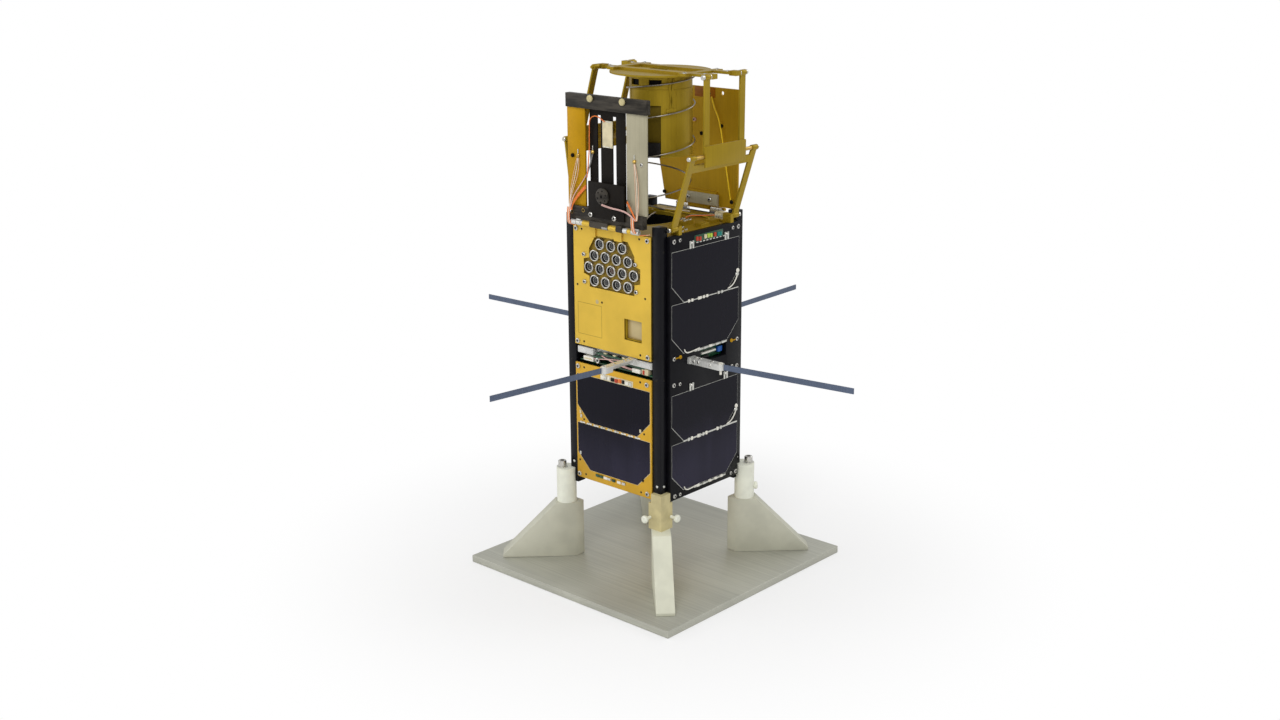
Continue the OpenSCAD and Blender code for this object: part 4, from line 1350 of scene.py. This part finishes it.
class NANOSAT_OT_front_panel(Step, bpy.types.Operator):
    """Front fold-out panel: screws, chip, round sensor, small sensors and hinge sleeves"""

    bl_idname = "nanosat.front_panel"
    bl_label = "Front panel"

    def build(self, context):
        shape = Shape()
        y = PLATE_Y
        bar_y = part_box("front_panel_top_bar")[0].y / MM
        out = (0, -1, 0)
        thumb = [(0, 2.2), (1.9, 2.2), (2.6, 1.7), (2.8, 0.9), (2.4, 0), (0, 0)]
        for x, z in ((-14.8, 392.4), (18.8, 392.5)):
            shape.turned(thumb, facing((x, bar_y, z), out), "nylon_aged", 24)
        for x, z in ((-14.2, 303), (10.8, 303)):
            shape.screw((x, y, z), out, 2.1, "steel", 1.4, "cross", 0.5)
        shape.block((-6.8, BOARD_Y - 0.9, 355.3), (3.6, BOARD_Y, 376), "beige", 0.25)
        for z in (356, 375.4):
            shape.block((-6, BOARD_Y - 1.1, z - 0.4), (2.8, BOARD_Y, z + 0.3), "solder", 0.15)
        disc_x, disc_z = -1.2, 318.6
        rings = [(0, 1.3), (1.1, 1.3), (1.3, 1.6), (2.6, 1.6), (2.9, 1.25), (5.9, 1.25), (6.5, 0.9),
                 (6.8, 0.2), (6.8, 0)]
        shape.turned(rings, facing((disc_x, y - 0.7, disc_z), out), "laminate", 40)
        # Dark discs of painted shade for the disc's six holes and its centre.
        for angle in range(20, 380, 60):
            hole_x = disc_x + 4.5 * math.cos(math.radians(angle))
            hole_z = disc_z + 4.5 * math.sin(math.radians(angle))
            shape.turned([(0, 1.32), (0.7, 1.32), (0.75, 1.2)], facing((hole_x, y - 0.7, hole_z), out),
                         "dark", 10)
        shape.turned([(0, 1.7), (1.1, 1.7), (1.2, 1.4)], facing((disc_x, y - 0.7, disc_z), out), "dark",
                     14)
        for x, z, base, finish in ((-17.6, 350.6, BOARD_Y, "brass"), (-36.3, 346.5, STRIP_Y, "dark"),
                                   (-30.3, 347, STRIP_Y, "brass"), (28.9, 348.4, STRIP_Y, "brass")):
            shape.turned([(0, 1.9), (0.8, 1.8), (1.5, 1.1), (1.6, 0)], facing((x, base, z), out), finish,
                         16)
            if finish == "brass":
                shape.block((x - 0.4, base - 0.8, z), (x + 0.4, base, z + 5), "solder", 0.2)
        shape.screw((36, STRIP_Y, 346.7), out, 1.5, "steel", 1.0, "cross", 0.3)
        for x, z in ((-37, 302), (29.5, 304), (-24.6, 304.6)):
            shape.hole((x, bar_y, z), out, 1.2)
        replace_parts(shape.done("front_panel_parts", "front_panel"), "front_panel_disc")
        shape = Shape()
        for x0, x1, finish in ((-31, -26.2, "solder"), (-37, -31.4, "bare"), (18.8, 23, "bare"),
                               (27.4, 35, "solder")):
            shape.rod((x0, -57, HINGE_Z), (x1, -57, HINGE_Z), 2.0, finish, 0.25)
        for x in range(-3, 3):
            ring = [(1.75, 0), (2.25, 0.25), (2.25, 0.75), (1.75, 1.0), (1.75, 0)]
            shape.turned(ring, facing((x + 0.2, -57, HINGE_Z), (1, 0, 0)), "steel", 20)
        shape.block((-31.5, -57.5, 294.2), (-27, -56.4, 297.4), "bare", 0.2)
        shape.block((28, -57.5, 294.2), (34.5, -56.4, 297.4), "bare", 0.2)
        shape.done("front_hinge_barrels", "front_panel")
        shape = Shape()
        for x0, x1, finish in ((23.4, 27, "gold"), (-26, -24.4, "bare")):
            shape.rod((x0, -57, HINGE_Z), (x1, -57, HINGE_Z), 2.0, finish, 0.25)
        shape.done("front_hinge_deck_barrels", "root")
        self.wires()

    def wires(self):
        """Leads that run down the panel and over its hinge to the deck."""
        for name, finish, radius, runs in FRONT_WIRES:
            wire_mesh("front_wire_" + name, runs, radius, finish, "front_panel")
        for finish, shifts in {"peach": (-1.4, 0.0), "orange": (-0.7, 1.2), "cream": (0.6,)}.items():
            over = []
            for shift in shifts:
                over.append([(-38.4 + shift, -58.4, 306), (-38.2 + shift, -59.4, 300),
                             (-37.8 + shift, -59.8, 295), (-37.2 + shift, -58.4, 291.6),
                             (-36.5 + shift, -52.8, 291.6)])
                over.append([(29.4 + shift, -58.6, 306), (30.4 + shift, -59.8, 300),
                             (31.4 + shift, -60, 295.5), (33 + shift, -57.6, 292.4),
                             (35.5 + shift, -52.6, 292.2), (39, -49.8 + shift, 292.6)])
            ramp = wire_mesh("front_wire_over_" + finish, over, 0.34, finish, None)
            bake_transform(ramp)


class NANOSAT_OT_back_panel(Step, bpy.types.Operator):
    """Back fold-out panel: screws, holes, amber tape, bracket and the yellow lead"""

    bl_idname = "nanosat.back_panel"
    bl_label = "Back panel"

    def build(self, context):
        shape = Shape()
        y = BACK_Y
        out = (0, -1, 0)
        for x, z, finish in ((25, 362.8, "dark"), (4.3, 355.2, "dark"), (-35.8, 302.9, "rubber"),
                             (36.2, 302.6, "rubber"), (-3.2, 365.8, "pink")):
            shape.screw((x, y, z), out, 1.6, finish, 1.3, "cross", 0.4)
        shape.hole((12.5, y - 0.25, 387.8), out, 1.1)
        shape.block((-3, y - 0.25, 384.6), (18.2, y, 392.6), "brown", 0.05)
        shape.block((-10, y - 2.6, 297.6), (23, y - 0.2, 307), "silver", 0.4)
        for x in (15.2, -7.5):
            shape.screw((x, y - 2.6, 302.4), out, 1.8, "steel", 1.0, "cross", 0.9)
        for x in (-30, 0, 30):
            shape.screw((x, y + 1.6, 300.5), (0, 1, 0), 1.8, "steel", 1.0, "cross", 0.2)
            shape.screw((x, y + 1.6, 386), (0, 1, 0), 1.8, "steel", 1.0, "cross", 1.1)
        shape.done("back_panel_parts", "back_panel")
        run = [(15, y - 0.8, 385.5), (17.5, y - 1.4, 378), (22, y - 1.2, 371), (25, y - 1.6, 363),
               (28, y - 1.2, 346),
               (32, y - 1.2, 324), (36, y - 1.5, 304.5)]
        wire_mesh("back_wire", [run], 0.55, "yellow", "back_panel")


class NANOSAT_OT_rails(Step, bpy.types.Operator):
    """Rivets and small plungers of the corner rails"""

    bl_idname = "nanosat.rails"
    bl_label = "Rail fittings"

    def build(self, context):
        shape = Shape()
        for turn in (0, 90, 180, 270):
            around = Matrix.Rotation(math.radians(turn), 4, "Z")
            for z in (83, 89.5, 178, 280):
                for raw, out in (((46, -50, z), (0, -1, 0)), ((50, -46, z), (1, 0, 0))):
                    dome = [(0, 0.45), (0.7, 0.4), (1.1, 0.15), (1.2, 0)]
                    finish = "solder" if z < 90 else "rubber"
                    shape.turned(dome, facing(around @ Vector(raw), around.to_3x3() @ Vector(out)),
                                 finish, 14)
        shape.done("rail_rivets", "root")


# ---------------------------------------------------------------- stage


CAMERA_AIM = Vector((-0.016945, 0.0, 0.17133))
CAMERA_BACK = Vector((0.6456, -0.7088, 0.2845))
CAMERA_DISTANCE = 1.33786
CAMERA_ROLL = -0.373


def camera():
    """The camera, looking down a little at the corner between the gold and a solar side."""
    data = bpy.data.cameras.new("camera")
    data.lens = 45.5
    data.sensor_width = 36
    data.clip_start = 0.05
    data.clip_end = 60
    made = bpy.data.objects.new("camera", data)
    back = CAMERA_BACK.normalized()
    made.location = CAMERA_AIM + back * CAMERA_DISTANCE
    turn = (-back).to_track_quat("-Z", "Y").to_matrix().to_4x4()
    roll = Matrix.Rotation(math.radians(CAMERA_ROLL), 4, "Z")
    made.matrix_world = Matrix.Translation(made.location) @ turn @ roll
    bpy.context.scene.collection.objects.link(made)
    bpy.context.scene.camera = made


def lamp(name, at, aim, power, size):
    """A soft square lamp."""
    data = bpy.data.lights.new(name, "AREA")
    data.energy = power
    data.size = size
    made = bpy.data.objects.new(name, data)
    made.location = at
    made.rotation_mode = "QUATERNION"
    made.rotation_quaternion = (Vector(aim) - Vector(at)).to_track_quat("-Z", "Y")
    bpy.context.scene.collection.objects.link(made)


def floor():
    """Pale floor that keeps the object's shadow and fades to white further out."""
    bm = bmesh.new()
    bmesh.ops.create_circle(bm, cap_ends=True, segments=64, radius=9.0)
    mesh = bpy.data.meshes.new("floor")
    bm.to_mesh(mesh)
    bm.free()
    made = bpy.data.objects.new("floor", mesh)
    bpy.context.scene.collection.objects.link(made)
    made.location.z = -0.0002
    mat = bpy.data.materials.new("floor_white")
    mat.use_nodes = True
    nodes, links = mat.node_tree.nodes, mat.node_tree.links
    shader = nodes["Principled BSDF"]
    shader.inputs["Base Color"].default_value = (0.9, 0.9, 0.9, 1)
    shader.inputs["Roughness"].default_value = 0.7
    shader.inputs["Specular IOR Level"].default_value = 0.2
    white = nodes.new("ShaderNodeEmission")
    white.inputs["Strength"].default_value = 1.0
    place = nodes.new("ShaderNodeTexCoord")
    far = nodes.new("ShaderNodeVectorMath")
    far.operation = "LENGTH"
    links.new(place.outputs["Object"], far.inputs[0])
    fade = nodes.new("ShaderNodeMapRange")
    fade.interpolation_type = "SMOOTHSTEP"
    fade.inputs["From Min"].default_value = 0.14
    fade.inputs["From Max"].default_value = 0.36
    fade.inputs["To Min"].default_value = 0.45
    links.new(far.outputs["Value"], fade.inputs["Value"])
    path = nodes.new("ShaderNodeLightPath")
    seen = nodes.new("ShaderNodeMath")
    seen.operation = "MULTIPLY"
    links.new(fade.outputs[0], seen.inputs[0])
    links.new(path.outputs["Is Camera Ray"], seen.inputs[1])
    mix = nodes.new("ShaderNodeMixShader")
    links.new(seen.outputs[0], mix.inputs[0])
    links.new(shader.outputs[0], mix.inputs[1])
    links.new(white.outputs[0], mix.inputs[2])
    links.new(mix.outputs[0], nodes["Material Output"].inputs["Surface"])
    mesh.materials.append(mat)


def world():
    """White surroundings for the eye, softer light for the object."""
    made = bpy.data.worlds.new("studio")
    bpy.context.scene.world = made
    made.use_nodes = True
    nodes, links = made.node_tree.nodes, made.node_tree.links
    soft = nodes["Background"]
    soft.inputs["Color"].default_value = (1, 1, 1, 1)
    soft.inputs["Strength"].default_value = 0.62
    white = nodes.new("ShaderNodeBackground")
    white.inputs["Strength"].default_value = 1.0
    path = nodes.new("ShaderNodeLightPath")
    mix = nodes.new("ShaderNodeMixShader")
    links.new(path.outputs["Is Camera Ray"], mix.inputs[0])
    links.new(soft.outputs[0], mix.inputs[1])
    links.new(white.outputs[0], mix.inputs[2])
    links.new(mix.outputs[0], nodes["World Output"].inputs["Surface"])


class NANOSAT_OT_stage(Step, bpy.types.Operator):
    """Camera, soft studio lamps, pale floor and white surroundings"""

    bl_idname = "nanosat.stage"
    bl_label = "Stage"

    def build(self, context):
        camera()
        lamp("key_lamp", (0.9, -1.5, 1.7), (0, 0, 0.2), 21, 1.2)
        lamp("fill_lamp", (-1.6, -1.1, 0.9), (0, 0, 0.2), 7, 1.4)
        lamp("back_lamp", (0.6, 1.7, 1.3), (0, 0, 0.25), 8, 1.2)
        floor()
        world()
        context.scene.view_settings.view_transform = "Standard"


# ---------------------------------------------------------------- panel and running


STEPS = (
    NANOSAT_OT_stage,
    NANOSAT_OT_frame,
    NANOSAT_OT_stand_screws,
    NANOSAT_OT_rails,
    NANOSAT_OT_panel_screws,
    NANOSAT_OT_sensors,
    NANOSAT_OT_window,
    NANOSAT_OT_cells,
    NANOSAT_OT_solar_trim,
    NANOSAT_OT_lower_trim,
    NANOSAT_OT_mid_gap,
    NANOSAT_OT_antennas,
    NANOSAT_OT_telescope,
    NANOSAT_OT_deck,
    NANOSAT_OT_front_panel,
    NANOSAT_OT_back_panel,
)


class NANOSAT_PT_panel(bpy.types.Panel):
    """Lists the steps in the 3D view's sidebar"""

    bl_idname = "NANOSAT_PT_panel"
    bl_label = "Nanosatellite"
    bl_space_type = "VIEW_3D"
    bl_region_type = "UI"
    bl_category = "Nanosatellite"

    def draw(self, context):
        for step in STEPS:
            self.layout.operator(step.bl_idname)
        for group in (context.scene.nanosat_sizes, context.scene.nanosat_finishes):
            for name in group.__annotations__:
                self.layout.prop(group, name)


CLASSES = (NANOSAT_PG_finishes, NANOSAT_PG_sizes, *STEPS, NANOSAT_PT_panel)


def register():
    """Registers the classes and their settings."""
    for item in CLASSES:
        bpy.utils.register_class(item)
    bpy.types.Scene.nanosat_finishes = PointerProperty(type=NANOSAT_PG_finishes)
    bpy.types.Scene.nanosat_sizes = PointerProperty(type=NANOSAT_PG_sizes)


def unregister():
    """Takes the classes and their settings away."""
    del bpy.types.Scene.nanosat_sizes
    del bpy.types.Scene.nanosat_finishes
    for item in reversed(CLASSES):
        bpy.utils.unregister_class(item)


def main():
    """Builds everything."""
    register()
    for step in STEPS:
        group, name = step.bl_idname.split(".")
        getattr(getattr(bpy.ops, group), name)()


if __name__ == "__main__":
    main()
